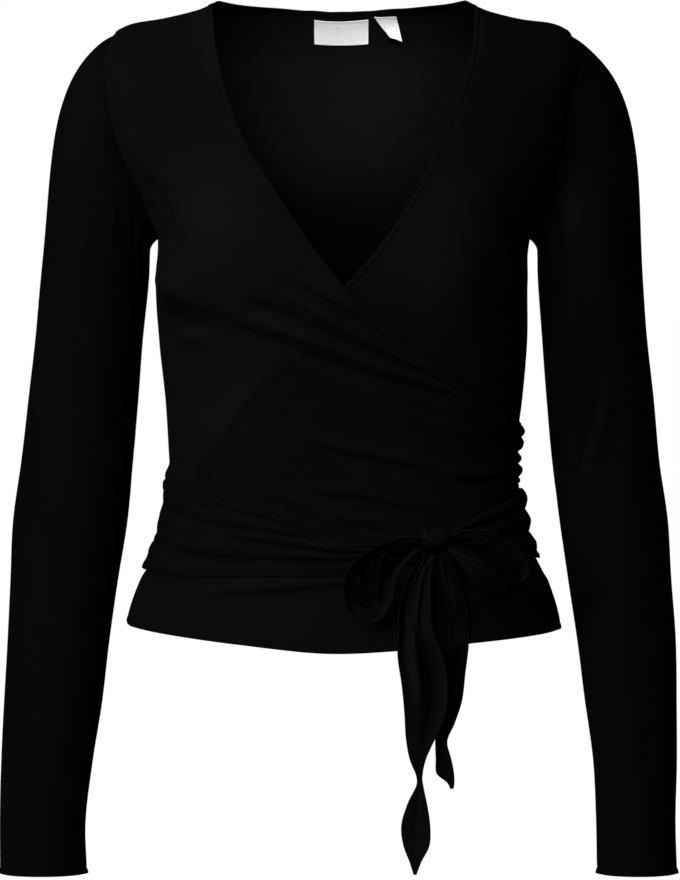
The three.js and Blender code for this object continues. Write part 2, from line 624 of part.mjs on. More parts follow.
function makeSleeve(name, side) {
  const key = side < 0 ? "left" : "right";
  const first = SLEEVE[0].z;
  const last = SLEEVE[SLEEVE.length - 1].z;
  const ringPoint = (z, turn) => {
    const angle = THREE.MathUtils.degToRad(turn);
    const middle = read(SLEEVE, "z", z, key + "X");
    const half = read(SLEEVE, "z", z, key + "Half");
    const depth = read(SLEEVE, "z", z, "depth");
    const y = read(SLEEVE, "z", z, "y");
    return new THREE.Vector3(
      middle + side * half * Math.cos(angle),
      y - depth * Math.sin(angle),
      z,
    );
  };
  const grid = [];
  for (let k = 0; k <= CAP_RINGS + ARM_RINGS; k += 1) {
    const line = [];
    for (let i = 0; i < SLEEVE_COLUMNS; i += 1) {
      const turn = (360 * i) / SLEEVE_COLUMNS;
      const low = (1 - Math.cos(THREE.MathUtils.degToRad(turn))) / 2;
      if (k > CAP_RINGS) {
        line.push(ringPoint(first + ((last - first) * (k - CAP_RINGS)) / ARM_RINGS, turn));
        continue;
      }
      const t = k / CAP_RINGS;
      const gap = 2.5 * SEAM_GAP + 0.7 * WALL * low;
      const start = armholePoint(side, turn).add(new THREE.Vector3(side * gap, 0, -0.3 * gap));
      const end = ringPoint(first, turn);
      const below = ringPoint(first - 10, turn);
      const fall = CAP_PULL.fall + CAP_PULL.lowFall * low;
      const pull = CAP_PULL[key] * (1 - low) + CAP_PULL.low * low;
      const leave = new THREE.Vector3(side, 0, -fall).normalize().multiplyScalar(pull);
      const drop = start.distanceTo(end) * CAP_PULL.arrive;
      const arrive = below.sub(end).normalize().multiplyScalar(drop);
      line.push(
        new THREE.Vector3()
          .addScaledVector(start, 2 * t ** 3 - 3 * t ** 2 + 1)
          .addScaledVector(leave, t ** 3 - 2 * t ** 2 + t)
          .addScaledVector(end, 3 * t ** 2 - 2 * t ** 3)
          .addScaledVector(arrive, t ** 3 - t ** 2),
      );
    }
    grid.push(line);
  }
  return piece(name, wallOf(withOwnNormals(grid, true), WALL, true), BLACK_JERSEY);
}

// A tie that lies on the body: lengthwise pleats deepen towards its gathered end.
function makeTie(name, rows, { columns, pleats, depth }) {
  const across = pleats * 4;
  const first = rows[0].around;
  const last = rows[rows.length - 1].around;
  const sheet = [];
  for (let k = 0; k <= columns; k += 1) {
    const around = first + ((last - first) * k) / columns;
    const top = read(rows, "around", around, "top");
    const bottom = read(rows, "around", around, "bottom");
    const layer = read(rows, "around", around, "layer");
    const line = [];
    for (let i = 0; i <= across; i += 1) {
      const t = i / across;
      const point = aroundPoint(around, top + (bottom - top) * t);
      const normal = figureNormal(point);
      const pleat = depth * (0.5 - 0.5 * Math.cos(2 * Math.PI * pleats * t));
      line.push({ point: point.addScaledVector(normal, layer + pleat), normal });
    }
    sheet.push(line);
  }
  for (const end of [0, columns]) {
    const next = end === 0 ? 1 : columns - 1;
    sheet[end].forEach((spot, i) => {
      const towards = sheet[next][i].point.clone().sub(spot.point).normalize();
      spot.point.addScaledVector(towards, SEAM_GAP / 2);
    });
  }
  return piece(name, wallOf(sheet, WALL), TIE_JERSEY);
}

// A free ribbon between two edge lines, pushed out along its middle.
function makeRibbon(name, rows, lengthSteps, across) {
  const near = path(rows.map((row) => new THREE.Vector3(...row.near)));
  const far = path(rows.map((row) => new THREE.Vector3(...row.far)));
  const flat = steps(lengthSteps, (s) =>
    steps(across, (t) => near(s).clone().lerp(far(s), t)),
  );
  const spots = withOwnNormals(flat, false);
  const marks = rows.map((row, k) => ({ share: k / (rows.length - 1), bulge: row.bulge }));
  spots.forEach((line, k) => {
    const bulge = read(marks, "share", k / lengthSteps, "bulge");
    line.forEach((spot, i) => {
      const arch = Math.sin((Math.PI * i) / across);
      spot.point.addScaledVector(spot.normal, bulge * arch);
    });
  });
  const bent = withOwnNormals(spots.map((line) => line.map((spot) => spot.point)), false);
  return piece(name, wallOf(bent, WALL), TIE_JERSEY);
}

function makeKnot() {
  const shape = new THREE.SphereGeometry(1, 16, 10);
  const places = shape.getAttribute("position");
  for (let k = 0; k < places.count; k += 1) {
    const x = places.getX(k);
    const y = places.getY(k);
    const z = places.getZ(k);
    const wrap = 1 + 0.07 * Math.cos(5 * x + 2.4 * y);
    places.setXYZ(
      k,
      KNOT.x + KNOT.halfWidth * x * wrap,
      KNOT.y + KNOT.halfDepth * y * wrap,
      KNOT.z + KNOT.halfHeight * z * wrap,
    );
  }
  return piece("bow_knot", shape, TIE_JERSEY);
}

function makeLabel(name, sizes, columns, rows) {
  const { curl = 0, lean = 0 } = sizes;
  const grid = steps(rows, (v) =>
    steps(columns, (u) => {
      const x = sizes.left + (sizes.right - sizes.left) * u + lean * v;
      const z = sizes.top + (sizes.bottom - sizes.top) * v;
      const place = backPoint({ x, z });
      const inward = figureNormal(place);
      place.addScaledVector(inward, -(WALL + sizes.wall) / 2 - sizes.standOff - curl * v * v);
      return { point: place, normal: inward };
    }),
  );
  return piece(name, wallOf(grid, sizes.wall), WHITE_LABEL);
}

const wrapTop = new THREE.Group();
wrapTop.add(makeBack());
wrapTop.add(
  makeFront({
    name: "front_under",
    side: 1,
    neckLine: UNDER_NECK,
    endAngle: -76,
    endTop: -358,
    columns: 19,
    rows: 18,
    height: () => 0,
  }),
);
wrapTop.add(
  makeFront({
    name: "front_outer",
    side: -1,
    neckLine: OUTER_NECK,
    endAngle: 82,
    endTop: -316,
    columns: 20,
    rows: 42,
    height: outerHeight,
  }),
);
wrapTop.add(makeSleeve("sleeve_left", -1));
wrapTop.add(makeSleeve("sleeve_right", 1));
wrapTop.add(makeTie("tie_across_front", TIE_ACROSS_FRONT, { columns: 20, pleats: 3, depth: 2.4 }));
wrapTop.add(makeTie("tie_round_back", TIE_ROUND_BACK, { columns: 22, pleats: 2, depth: 1.4 }));
wrapTop.add(makeTie("under_tie_back", UNDER_TIE_BACK, { columns: 20, pleats: 1, depth: 0.8 }));
wrapTop.add(makeTie("under_tie_front", UNDER_TIE_FRONT, { columns: 10, pleats: 3, depth: 2.2 }));
wrapTop.add(makeKnot());
wrapTop.add(makeRibbon("loop_left", LEFT_LOOP, 26, 4));
wrapTop.add(makeRibbon("loop_right", RIGHT_LOOP, 26, 4));
wrapTop.add(makeRibbon("tail_left", LEFT_TAIL, 28, 4));
wrapTop.add(makeRibbon("tail_right", RIGHT_TAIL, 22, 4));
wrapTop.add(makeLabel("neck_label", LABEL, 6, 3));
wrapTop.add(makeLabel("care_tag", TAG, 4, 5));

export default wrapTop;
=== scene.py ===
# %% [markdown]
# # A cropped wrap top in black jersey
# The real top is sewn from a few panels of thin knitted cloth: a back, two fronts that cross, two sleeves,
# and two long ties that run round the waist to a bow. The imported model already holds each of them as a
# smooth wall. Here every piece becomes finer cloth with its creases, turned edges, stitches and knit.
#
# It could all be sculpted, or draped by a simulation. The top has the filled-out shape of a worn one with
# nobody in it, so a simulation would let it fall flat. Each sheet is therefore laid on the same
# figure that the model was made on, and its creases are listed one by one.

# %% Load the imported model
import math

import bpy
import numpy as np
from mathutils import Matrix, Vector


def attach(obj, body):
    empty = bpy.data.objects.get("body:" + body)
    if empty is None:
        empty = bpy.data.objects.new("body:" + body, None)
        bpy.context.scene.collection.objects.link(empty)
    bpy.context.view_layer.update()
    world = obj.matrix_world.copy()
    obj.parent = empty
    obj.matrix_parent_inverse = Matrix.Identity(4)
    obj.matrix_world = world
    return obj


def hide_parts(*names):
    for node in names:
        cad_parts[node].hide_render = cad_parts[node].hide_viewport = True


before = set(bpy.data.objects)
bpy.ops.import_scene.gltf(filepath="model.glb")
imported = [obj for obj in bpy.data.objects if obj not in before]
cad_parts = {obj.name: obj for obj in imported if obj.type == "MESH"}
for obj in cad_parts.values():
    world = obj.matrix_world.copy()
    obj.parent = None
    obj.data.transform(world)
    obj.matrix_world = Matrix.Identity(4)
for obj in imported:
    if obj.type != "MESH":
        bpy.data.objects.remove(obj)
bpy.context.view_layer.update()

# %% [markdown]
# ## The figure inside the cloth
# A worn top has the shape of a body. Here that body is a table of level sections, each a rounded box with
# its own reach to the four sides, closed at the top by sloping shoulders and raised by two soft bumps at
# the bust. All lengths are millimetres until a piece is finished, when they turn into metres.
#
# A smooth curve through each column of a table is worked out once, and looked up from then on.

# %% Reading a table along a smooth curve
def cubic(t, start, end, leave, arrive):
    """A cubic curve from start to end that leaves and arrives with the given slopes."""
    return (start * (2 * t**3 - 3 * t**2 + 1) + end * (3 * t**2 - 2 * t**3)
            + leave * (t**3 - 2 * t**2 + t) + arrive * (t**3 - t**2))


def read(places, values, at):
    """The value at a place between the rows, with slopes taken from the rows on both sides."""
    places, values = np.asarray(places, float), np.asarray(values, float)
    if places[-1] < places[0]:
        places, at = -places, -np.asarray(at, float)
    row = np.arange(len(values))
    before, after = np.maximum(row - 1, 0), np.minimum(row + 1, row[-1])
    slopes = (values[after] - values[before]) / (places[after] - places[before])
    i = np.clip(np.searchsorted(places, at, side="left") - 1, 0, len(places) - 2)
    span = places[i + 1] - places[i]
    t = np.clip((at - places[i]) / span, 0, 1)
    return cubic(t, values[i], values[i + 1], slopes[i] * span, slopes[i + 1] * span)


def smoothstep(low, high, value):
    t = np.clip((np.asarray(value, float) - low) / (high - low), 0, 1)
    return t * t * (3 - 2 * t)


# %% The figure's sections and its surface
# level, reach to the left, right, front and back, and how square the section is
FIGURE = np.array([
    (60, 170, 169, 46, 52, 3.6), (0, 172, 170, 52, 62, 3.8), (-40, 178, 174, 62, 76, 4.0),
    (-84, 178, 172, 78, 87, 3.7), (-120, 167, 165, 90, 92, 3.1), (-150, 149, 150, 97, 93, 2.7),
    (-179, 136, 139.4, 101, 92, 2.5), (-210, 138.4, 138.2, 101, 90, 2.4), (-255, 136.2, 138, 96, 85, 2.35),
    (-300, 131.5, 134.2, 91, 81, 2.3), (-343, 128.8, 129, 88, 79, 2.3), (-372, 126.4, 132, 87, 79, 2.3),
    (-404, 133, 138, 88, 84, 2.3), (-419, 139.5, 144.6, 90, 88, 2.3), (-434, 149.5, 153.5, 94, 95, 2.3),
    (-466, 160, 162.6, 99, 103, 2.3), (-520, 166, 170, 102, 108, 2.3),
])
SHOULDER = {"slope": 0.2, "start": 97, "drop": 6.5, "drop_start": 93, "drop_reach": 8, "softness": 24}
RIDGE = {"y": 4, "front": 130, "back": 230}
BUST = {"x": 74, "z": -182, "spread": 54, "rise": 15}
LEVELS = np.arange(-560, 90, 0.25)
SECTIONS = [read(FIGURE[:, 0], FIGURE[:, k], LEVELS) for k in range(1, 6)]


def figure_field(points):
    """How far each point is outside the figure: negative inside, zero on its surface."""
    x, y, z = points[..., 0], points[..., 1], points[..., 2]
    left, right, front, back, square = (np.interp(z, LEVELS, column) for column in SECTIONS)
    reach_x, reach_y = np.where(x < 0, left, right), np.where(y < 0, front, back)
    ratio = (np.abs(x) / reach_x) ** square + (np.abs(y) / reach_y) ** square
    bumps = sum(
        np.exp(-((x - side * BUST["x"]) ** 2 + (z - BUST["z"]) ** 2) / BUST["spread"] ** 2)
        for side in (-1, 1)
    )
    side = (ratio ** (1 / square) - 1) * np.minimum(reach_x, reach_y)
    side = side - BUST["rise"] * smoothstep(0, 60, -y) * bumps
    past_neck = np.maximum(0, np.abs(x) - SHOULDER["drop_start"])
    height = -SHOULDER["drop"] * (1 - np.exp(-past_neck / SHOULDER["drop_reach"]))
    height = height - SHOULDER["slope"] * np.maximum(0, np.abs(x) - SHOULDER["start"])
    top = z - height + (y - RIDGE["y"]) ** 2 / np.where(y < RIDGE["y"], RIDGE["front"], RIDGE["back"])
    soft = SHOULDER["softness"]
    h = np.clip(0.5 + (side - top) / (2 * soft), 0, 1)
    return top + (side - top) * h + soft * h * (1 - h)


def figure_slope(points, step=0.05):
    moves = np.eye(3) * step
    return np.stack([(figure_field(points + m) - figure_field(points - m)) / (2 * step) for m in moves], -1)


def figure_normal(points):
    slope = figure_slope(points)
    return slope / np.linalg.norm(slope, axis=-1, keepdims=True)


def onto_figure(points, rounds=9):
    """Moves points along the field's slope until they lie on the figure."""
    for _ in range(rounds):
        slope = figure_slope(points)
        steep = np.maximum(0.05, (slope**2).sum(-1))
        points = points - slope * (figure_field(points) / steep)[..., None]
    return points


def surface_between(inside, outside):
    """The figure's surface on the straight lines from inside points to outside points."""
    low, high = np.broadcast_arrays(np.asarray(inside, float), np.asarray(outside, float))
    low, high = low.copy(), high.copy()
    for _ in range(34):
        middle = (low + high) / 2
        out = (figure_field(middle) > 0)[..., None]
        low, high = np.where(out, low, middle), np.where(out, middle, high)
    return low


def facing_point(x, z, towards):
    """Where the figure is met in front of (towards -1) or behind (towards 1) a point at x and z."""
    x, z = np.broadcast_arrays(np.asarray(x, float), np.asarray(z, float))
    start = np.stack([x, np.full(x.shape, float(RIDGE["y"])), z], -1)
    return surface_between(start, start + np.array([0, 220 * towards, 0]))


def around_point(degrees, z):
    """Where the figure is met at a compass angle: 0 is the front, + the viewer's right, 180 the back."""
    angle = np.radians(degrees)
    angle, z = np.broadcast_arrays(angle, np.asarray(z, float))
    start = np.stack([np.zeros(z.shape), np.zeros(z.shape), z], -1)
    return surface_between(start, np.stack([np.sin(angle) * 260, -np.cos(angle) * 260, z], -1))


print("waist, left to right:", round(float(np.ptp(around_point([-90, 90], -372)[:, 0]))), "mm")

# %% [markdown]
# ## Seams and edges as smooth paths
# A panel is cut along its seams, so the seams come first: shoulder, armhole, side seam and hem, and the
# neck edges as they are seen from the front. A path is a smooth curve through points that can be asked for
# any share of its length, which is what lets two panels meet along the same line.

# %% Paths through points
def path(points, fine=18):
    p = np.asarray(points, float)
    p = np.vstack([2 * p[0] - p[1], p, 2 * p[-1] - p[-2]])
    t = np.linspace(0, 1, fine, endpoint=False)[:, None]
    dense = []
    for a, b, c, d in zip(p, p[1:], p[2:], p[3:]):
        ab, bc, cd = (max(float(np.linalg.norm(n - m)), 1e-6) ** 0.5 for m, n in ((a, b), (b, c), (c, d)))
        leave = ((b - a) / ab - (c - a) / (ab + bc) + (c - b) / bc) * bc
        arrive = ((c - b) / bc - (d - b) / (bc + cd) + (d - c) / cd) * bc
        dense.append(cubic(t, b, c, leave, arrive))
    dense = np.vstack([*dense, p[-2:-1]])
    length = np.concatenate([[0], np.cumsum(np.linalg.norm(np.diff(dense, axis=0), axis=1))])

    def at(share):
        place = np.clip(share, 0, 1) * length[-1]
        return np.stack([np.interp(place, length, dense[:, k]) for k in range(dense.shape[1])], -1)

    at.length = length[-1]
    return at


def chain(*links):
    """Joins paths end to end. A link is a share of the whole, its path, and whether it runs backwards."""
    def at(share):
        share = np.clip(np.asarray(share, float), 0, 1)
        found, start = np.zeros(share.shape + (3,)), 0.0
        for part, line, backwards in links:
            t = (share - start) / part
            here = (t >= 0) if start == 0 else (t > 0)
            found = np.where(here[..., None], line(1 - t if backwards else t), found)
            start += part
        return found

    return at


# %% Seams of the body
ARMHOLE = {"y": 2, "z": -101, "half_depth": 46, "half_height": 74}
# turn from the shoulder tip over the front, and how far out the seam lies on the left and on the right
ARMHOLE_REACH = np.array([
    (0, 168, 170), (33, 172, 169.5), (60, 175, 166), (80, 174, 163), (99, 166, 160), (111, 157, 157),
    (129, 149.6, 149), (180, 138, 140.5), (228, 150, 150), (270, 166, 165), (310, 171, 170), (360, 168, 170),
])
# the hem's height round the body
HEM = np.array([
    (-180, -462), (-130, -462), (-90, -465), (-70, -468.5), (-40, -476), (-8, -482),
    (20, -480.5), (50, -475), (90, -468), (130, -464), (180, -462),
])


def armhole_point(side, turn):
    turn = np.asarray(turn, float)
    reach = read(ARMHOLE_REACH[:, 0], ARMHOLE_REACH[:, 1 if side < 0 else 2], turn)
    angle = np.radians(turn)
    y = ARMHOLE["y"] - ARMHOLE["half_depth"] * np.sin(angle)
    z = ARMHOLE["z"] + ARMHOLE["half_height"] * np.cos(angle)
    return onto_figure(np.stack([side * reach, y, z], -1), rounds=12)


def hem_height(degrees):
    turned = np.where(np.asarray(degrees) > 180, np.asarray(degrees) - 360, degrees)
    return read(HEM[:, 0], HEM[:, 1], turned)


def shoulder_seam(side, neck_point):
    tip = armhole_point(side, 0)
    between = [onto_figure(neck_point + (tip - neck_point) * t, rounds=12) for t in (0.25, 0.5, 0.75)]
    return path([neck_point, *between, tip])


def armhole_seam(side, start, end):
    return path(armhole_point(side, np.linspace(start, end, 15)))


def side_seam(side):
    top = armhole_point(side, 180)
    heights = np.linspace(top[2], float(hem_height(side * 90)), 13)[1:]
    return path([top, *around_point(side * 90.0, heights)])


def hem_line(start, end):
    angles = np.linspace(start, end, 17)
    return path(around_point(angles, hem_height(angles)))


# %% [markdown]
# ## Creases
# Jersey pulled across a body lies in long creases. Where the cloth is drawn together they are sharp valleys
# between round ridges; elsewhere they are soft and fade out. Each crease here is a short line of places on
# the cloth with a width, a height and a sharpness of its own, so no two are alike: 2 is a round ridge or
# trough, and towards 1 the bottom becomes sharp.

# %% Creases drawn along lines
def nearest_on(line, a, b):
    """The distance from each place to a line of points, and the share of the line where it is nearest."""
    start, step = line[:-1], np.diff(line, axis=0)
    lengths = np.linalg.norm(step, axis=1)
    before = np.concatenate([[0], np.cumsum(lengths)])
    near, share = np.full(a.shape, 1e9), np.zeros(a.shape)
    for k in range(len(step)):
        t = ((a - start[k, 0]) * step[k, 0] + (b - start[k, 1]) * step[k, 1]) / max(lengths[k] ** 2, 1e-9)
        t = np.clip(t, 0, 1)
        away = np.hypot(a - start[k, 0] - step[k, 0] * t, b - start[k, 1] - step[k, 1] * t)
        closer = away < near
        near = np.where(closer, away, near)
        share = np.where(closer, (before[k] + lengths[k] * t) / before[-1], share)
    return near, share


def creases(table, a, b):
    """The height that all creases of a table give the cloth at places a (along) and b (up), in millimetres.

    A row is: points, width, height, sharpness, and how much of its length it fades over at each end."""
    a, b = np.broadcast_arrays(a, b)
    total = np.zeros(a.shape)
    for points, width, height, sharpness, fade_in, fade_out in table:
        line = path(np.asarray(points, float), fine=6)(np.linspace(0, 1, 16))
        low, high = line.min(0) - 4 * width, line.max(0) + 4 * width
        close = (a > low[0]) & (a < high[0]) & (b > low[1]) & (b < high[1])
        if not close.any():
            continue
        near, share = nearest_on(line, a[close], b[close])
        fade = smoothstep(0, max(fade_in, 1e-3), share) * smoothstep(0, max(fade_out, 1e-3), 1 - share)
        total[close] += height * fade * np.exp(-((near / width) ** sharpness))
    return total


def waver(a, b, size, height, start=0.0):
    """A slow, uneven rise and fall, so that no stretch of cloth is perfectly even."""
    total = 0
    for k, (turn, stretch) in enumerate(((0.3, 1.0), (1.4, 1.37), (2.3, 0.71), (-0.7, 1.81))):
        phase = start + 2.1 * k
        along = a * math.cos(turn) + b * math.sin(turn)
        total = total + np.sin(2 * math.pi * stretch * along / size + phase + 0.8 * np.sin(b / size + phase))
    return height * total / 4


# %% [markdown]
# ## From a grid of places to a piece of cloth
# Each sheet is a grid of points. It gets its thickness from a Solidify modifier, which also closes its rim,
# and a UV map in metres along and across the cloth, so that the knit has its true size on every piece.

# %% Grids and finished pieces
DEGREE = 2.0  # millimetres of cloth for one degree round the body
CLOTH = 0.9


def around_of(points):
    return np.degrees(np.arctan2(points[..., 0], -points[..., 1]))


def grid_normals(grid, closed_round=False):
    across = np.roll(grid, -1, 1) - np.roll(grid, 1, 1)
    if not closed_round:
        across[:, 0], across[:, -1] = grid[:, 1] - grid[:, 0], grid[:, -1] - grid[:, -2]
    down = np.gradient(grid, axis=0)
    normal = np.cross(across, down)
    return normal / np.maximum(np.linalg.norm(normal, axis=-1, keepdims=True), 1e-9)


def run_lengths(grid, axis):
    steps = np.linalg.norm(np.diff(grid, axis=axis), axis=-1)
    total = np.cumsum(steps, axis=axis)
    return np.insert(total, 0, 0, axis=axis)


def lift(grid, height):
    """Moves cloth off the figure by its height at each point."""
    return grid + figure_normal(grid) * height[..., None]


def shoulder_lift(grid):
    """How much the cloth rises over the upper end of the sleeve seams, in millimetres."""
    x, z = grid[..., 0], grid[..., 2]
    most = np.where(x < 0, 5.5, 7.5)
    return most * np.exp(-(((np.abs(x) - 163) / 20) ** 2)) * smoothstep(-84, -34, z)


def painted_fold_shading(folds, strength=0.15):
    """Painted shade at the bottom of a fold, where little light comes in, and a painted highlight on its
    crest.
    """
    return np.clip(strength * folds, -1.1, 0.5)


def painted_patches(table, x, z):
    """Soft patches of painted light (amount above 0) and painted shade (below 0): centre x and z, half
    width, half height, amount.
    """
    return sum(amount * np.exp(-(((x - a) / wide) ** 2) - ((z - b) / high) ** 2)
               for a, b, wide, high, amount in table)


def new_piece(name, points, faces):
    """A mesh object from points in millimetres, with a UV map for the knit."""
    mesh = bpy.data.meshes.new(name)
    mesh.from_pydata((np.reshape(points, (-1, 3)) / 1000).tolist(), [], faces)
    mesh.uv_layers.new(name="cloth")
    piece = bpy.data.objects.new(name, mesh)
    bpy.context.scene.collection.objects.link(piece)
    return piece


def select_only(piece):
    bpy.ops.object.select_all(action="DESELECT")
    piece.select_set(True)
    bpy.context.view_layer.objects.active = piece


def store_painted_shading(piece, painted_shading):
    """Keeps the painted light and shade: how much lighter or deeper the cloth is drawn at each point."""
    shadings = piece.data.attributes.new("painted_shading", "FLOAT", "POINT")
    shadings.data.foreach_set("value", painted_shading.astype(np.float32).ravel())


def finish_piece(piece, material, solid):
    """Makes a mesh smooth, gives it its finish, parents it to the root body and hides the solid it stands
    for.
    """
    select_only(piece)
    bpy.ops.object.shade_smooth_by_angle(angle=math.radians(75))
    piece.data.materials.clear()
    piece.data.materials.append(material)
    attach(piece, "root")
    if solid:
        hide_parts(solid)


def cloth(name, solid, grid, material, along, up, painted_shading=None, thickness=CLOTH, closed_round=False):
    """A sheet of cloth from a grid of points in millimetres, with along and up as its place in the knit."""
    rows, count = grid.shape[:2]
    i = np.arange(count if closed_round else count - 1)
    j = np.arange(rows - 1)[:, None]
    right = (i + 1) % count
    faces = np.stack([j * count + i, (j + 1) * count + i, (j + 1) * count + right, j * count + right], -1)
    piece = new_piece(name, grid, faces.reshape(-1, 4).tolist())
    knit = np.stack([along, up], -1) / 1000
    places = np.stack([knit[j, i], knit[j + 1, i], knit[j + 1, i + 1], knit[j, i + 1]], -2)
    piece.data.uv_layers["cloth"].data.foreach_set("uv", places.astype(np.float32).ravel())
    # the painted light and shade, kept on each point
    if painted_shading is not None:
        store_painted_shading(piece, painted_shading)
    select_only(piece)
    solidify = piece.modifiers.new("thickness", "SOLIDIFY")
    solidify.thickness = thickness / 1000
    solidify.offset = 0
    bpy.ops.object.modifier_apply(modifier=solidify.name)
    finish_piece(piece, material, solid)
    triangles = sum(len(p.vertices) - 2 for p in piece.data.polygons)
    area = sum(p.area for p in piece.data.polygons) / 2
    print(f"{name}: {triangles} triangles, {area:.4f} m2 of cloth")
    return piece

# %% [markdown]
# ## The camera, the backdrop and the light
# The top hangs in front of a white wall in flat studio light that comes from the front, from above and a
# little from the left: its right side falls off into black. The wall and the floor shine by themselves and
# only the camera sees them, so that they stay white without washing out the black cloth.

# %% The camera at the picture's viewing angle
MM_PER_PIXEL = 0.75
PICTURE_HEIGHT = 880
SENSOR_WIDTH = 36
EYE_DISTANCE = 4.0
EYE_ELEVATION = math.radians(2)
AIM = Vector((-0.0015, 0, -0.3289))

camera_data = bpy.data.cameras.new("camera")
camera = bpy.data.objects.new("camera", camera_data)
bpy.context.scene.collection.objects.link(camera)
towards_eye = Vector((0, -math.cos(EYE_ELEVATION), math.sin(EYE_ELEVATION)))
camera.location = AIM + towards_eye * EYE_DISTANCE
camera.rotation_euler = (-towards_eye).to_track_quat("-Z", "Y").to_euler()
camera_data.sensor_width = SENSOR_WIDTH
camera_data.lens = SENSOR_WIDTH * EYE_DISTANCE * 1000 / (PICTURE_HEIGHT * MM_PER_PIXEL)
camera_data.clip_end = 60
bpy.context.scene.camera = camera
print("lens:", round(camera_data.lens, 1), "mm")

# %% A helper for shader nodes
WHITE = (1, 1, 1, 1)


def node(tree, kind, inputs=(), **settings):
    """Adds a node, sets its settings, and links or sets its inputs given as name or index: value."""
    made = tree.nodes.new(kind)
    for name, value in settings.items():
        setattr(made, name, value)
    for name, value in dict(inputs).items():
        if isinstance(value, bpy.types.NodeSocket):
            tree.links.new(value, made.inputs[name])
        else:
            made.inputs[name].default_value = value
    return made


def new_finish(name):
    """An empty material and its node tree."""
    material = bpy.data.materials.new(name)
    material.use_nodes = True
    material.node_tree.nodes.clear()
    return material, material.node_tree


# %% The wall and the floor
# name, place, turn about the x axis
BACKDROP = (("floor", (0, 0, -1.1), 0), ("wall", (0, 16, 0), math.pi / 2))
BACKDROP_SIZE = 60

backdrop_finish, tree = new_finish("white_backdrop")
glow = node(tree, "ShaderNodeEmission", {"Color": WHITE, "Strength": 1.0}).outputs[0]
node(tree, "ShaderNodeOutputMaterial", {"Surface": glow})

for name, place, turn in BACKDROP:
    bpy.ops.object.select_all(action="DESELECT")
    bpy.ops.mesh.primitive_plane_add(size=BACKDROP_SIZE, location=place, rotation=(turn, 0, 0))
    plane = bpy.context.object
    plane.name = name
    plane.data.materials.append(backdrop_finish)
    plane.visible_diffuse = plane.visible_glossy = plane.visible_transmission = plane.visible_shadow = False
print("backdrop:", [name for name, _, _ in BACKDROP])

# %% The lamps
# name, place, size, watts
LAMPS = (
    ("key_lamp", (-1.6, -2.0, 2.4), 1.4, 9),
    ("left_front_lamp", (-2.2, -2.8, 0.6), 1.4, 40),
    ("front_lamp", (-1.0, -3.2, 1.4), 1.4, 24),
    ("back_lamp", (0, 3.4, -0.25), 1.0, 18),
)
LAMP_AIM = (0, 0, -0.3)


def add_lamp(name, kind, place, aim, watts):
    lamp_data = bpy.data.lights.new(name, kind)
    lamp_data.energy = watts
    lamp = bpy.data.objects.new(name, lamp_data)
    bpy.context.scene.collection.objects.link(lamp)
    lamp.location = place
    lamp.rotation_euler = (Vector(aim) - Vector(place)).to_track_quat("-Z", "Y").to_euler()
    return lamp_data


for name, place, size, watts in LAMPS:
    add_lamp(name, "AREA", place, LAMP_AIM, watts).size = size
neck_lamp = add_lamp("neck_lamp", "SPOT", (0.1, -3.4, 0.9), (0, 0.05, -0.03), 670)
neck_lamp.spot_size = math.radians(3.6)
neck_lamp.spot_blend = 1.0
neck_lamp.shadow_soft_size = 0.03
print("lamps:", len(LAMPS) + 1)

# %% The air around
ROOM_LIGHT = 0.02

world = bpy.data.worlds.new("studio")
bpy.context.scene.world = world
world.use_nodes = True
tree = world.node_tree
tree.nodes.clear()
seen = node(tree, "ShaderNodeBackground", {"Color": WHITE, "Strength": 1.0}).outputs[0]
lighting = node(tree, "ShaderNodeBackground", {"Color": WHITE, "Strength": ROOM_LIGHT}).outputs[0]
camera_ray = node(tree, "ShaderNodeLightPath").outputs["Is Camera Ray"]
air = node(tree, "ShaderNodeMixShader", {0: camera_ray, 1: lighting, 2: seen}).outputs[0]
node(tree, "ShaderNodeOutputWorld", {"Surface": air})
bpy.context.scene.view_settings.view_transform = "Standard"
print("room light:", ROOM_LIGHT)

# %% [markdown]
# ## The knit
# Fine jersey is black yarn in rows of small V-shaped loops, about fifteen to the centimetre. From a step
# away the loops only soften the light, but the yarn is a little uneven, so that faint streaks run along its
# rows. Both are procedural: waves of the right pitch make the loops, and a stretched noise the streaks. A
# value named painted_shading, stored with each piece of cloth, is painted light and shade: it makes the
# cloth deeper in creases and where shadow falls, and lighter on crests, on lit places and where one thin
# layer lets light through.

# %% The jersey
LOOP_WIDTH = 0.00068
ROW_HEIGHT = 0.00052
# how often the noise changes along and across the rows, in each metre
STREAKS, RIBS = (9, 620, 1), (900, 14, 1)


def math_node(tree, operation, *values):
    return node(tree, "ShaderNodeMath", enumerate(values), operation=operation).outputs[0]


def noise(tree, place, scale, detail):
    return node(tree, "ShaderNodeTexNoise", {"Vector": place, "Scale": scale, "Detail": detail}).outputs[0]


def grey(level):
    return (level, level, level * 1.03, 1)


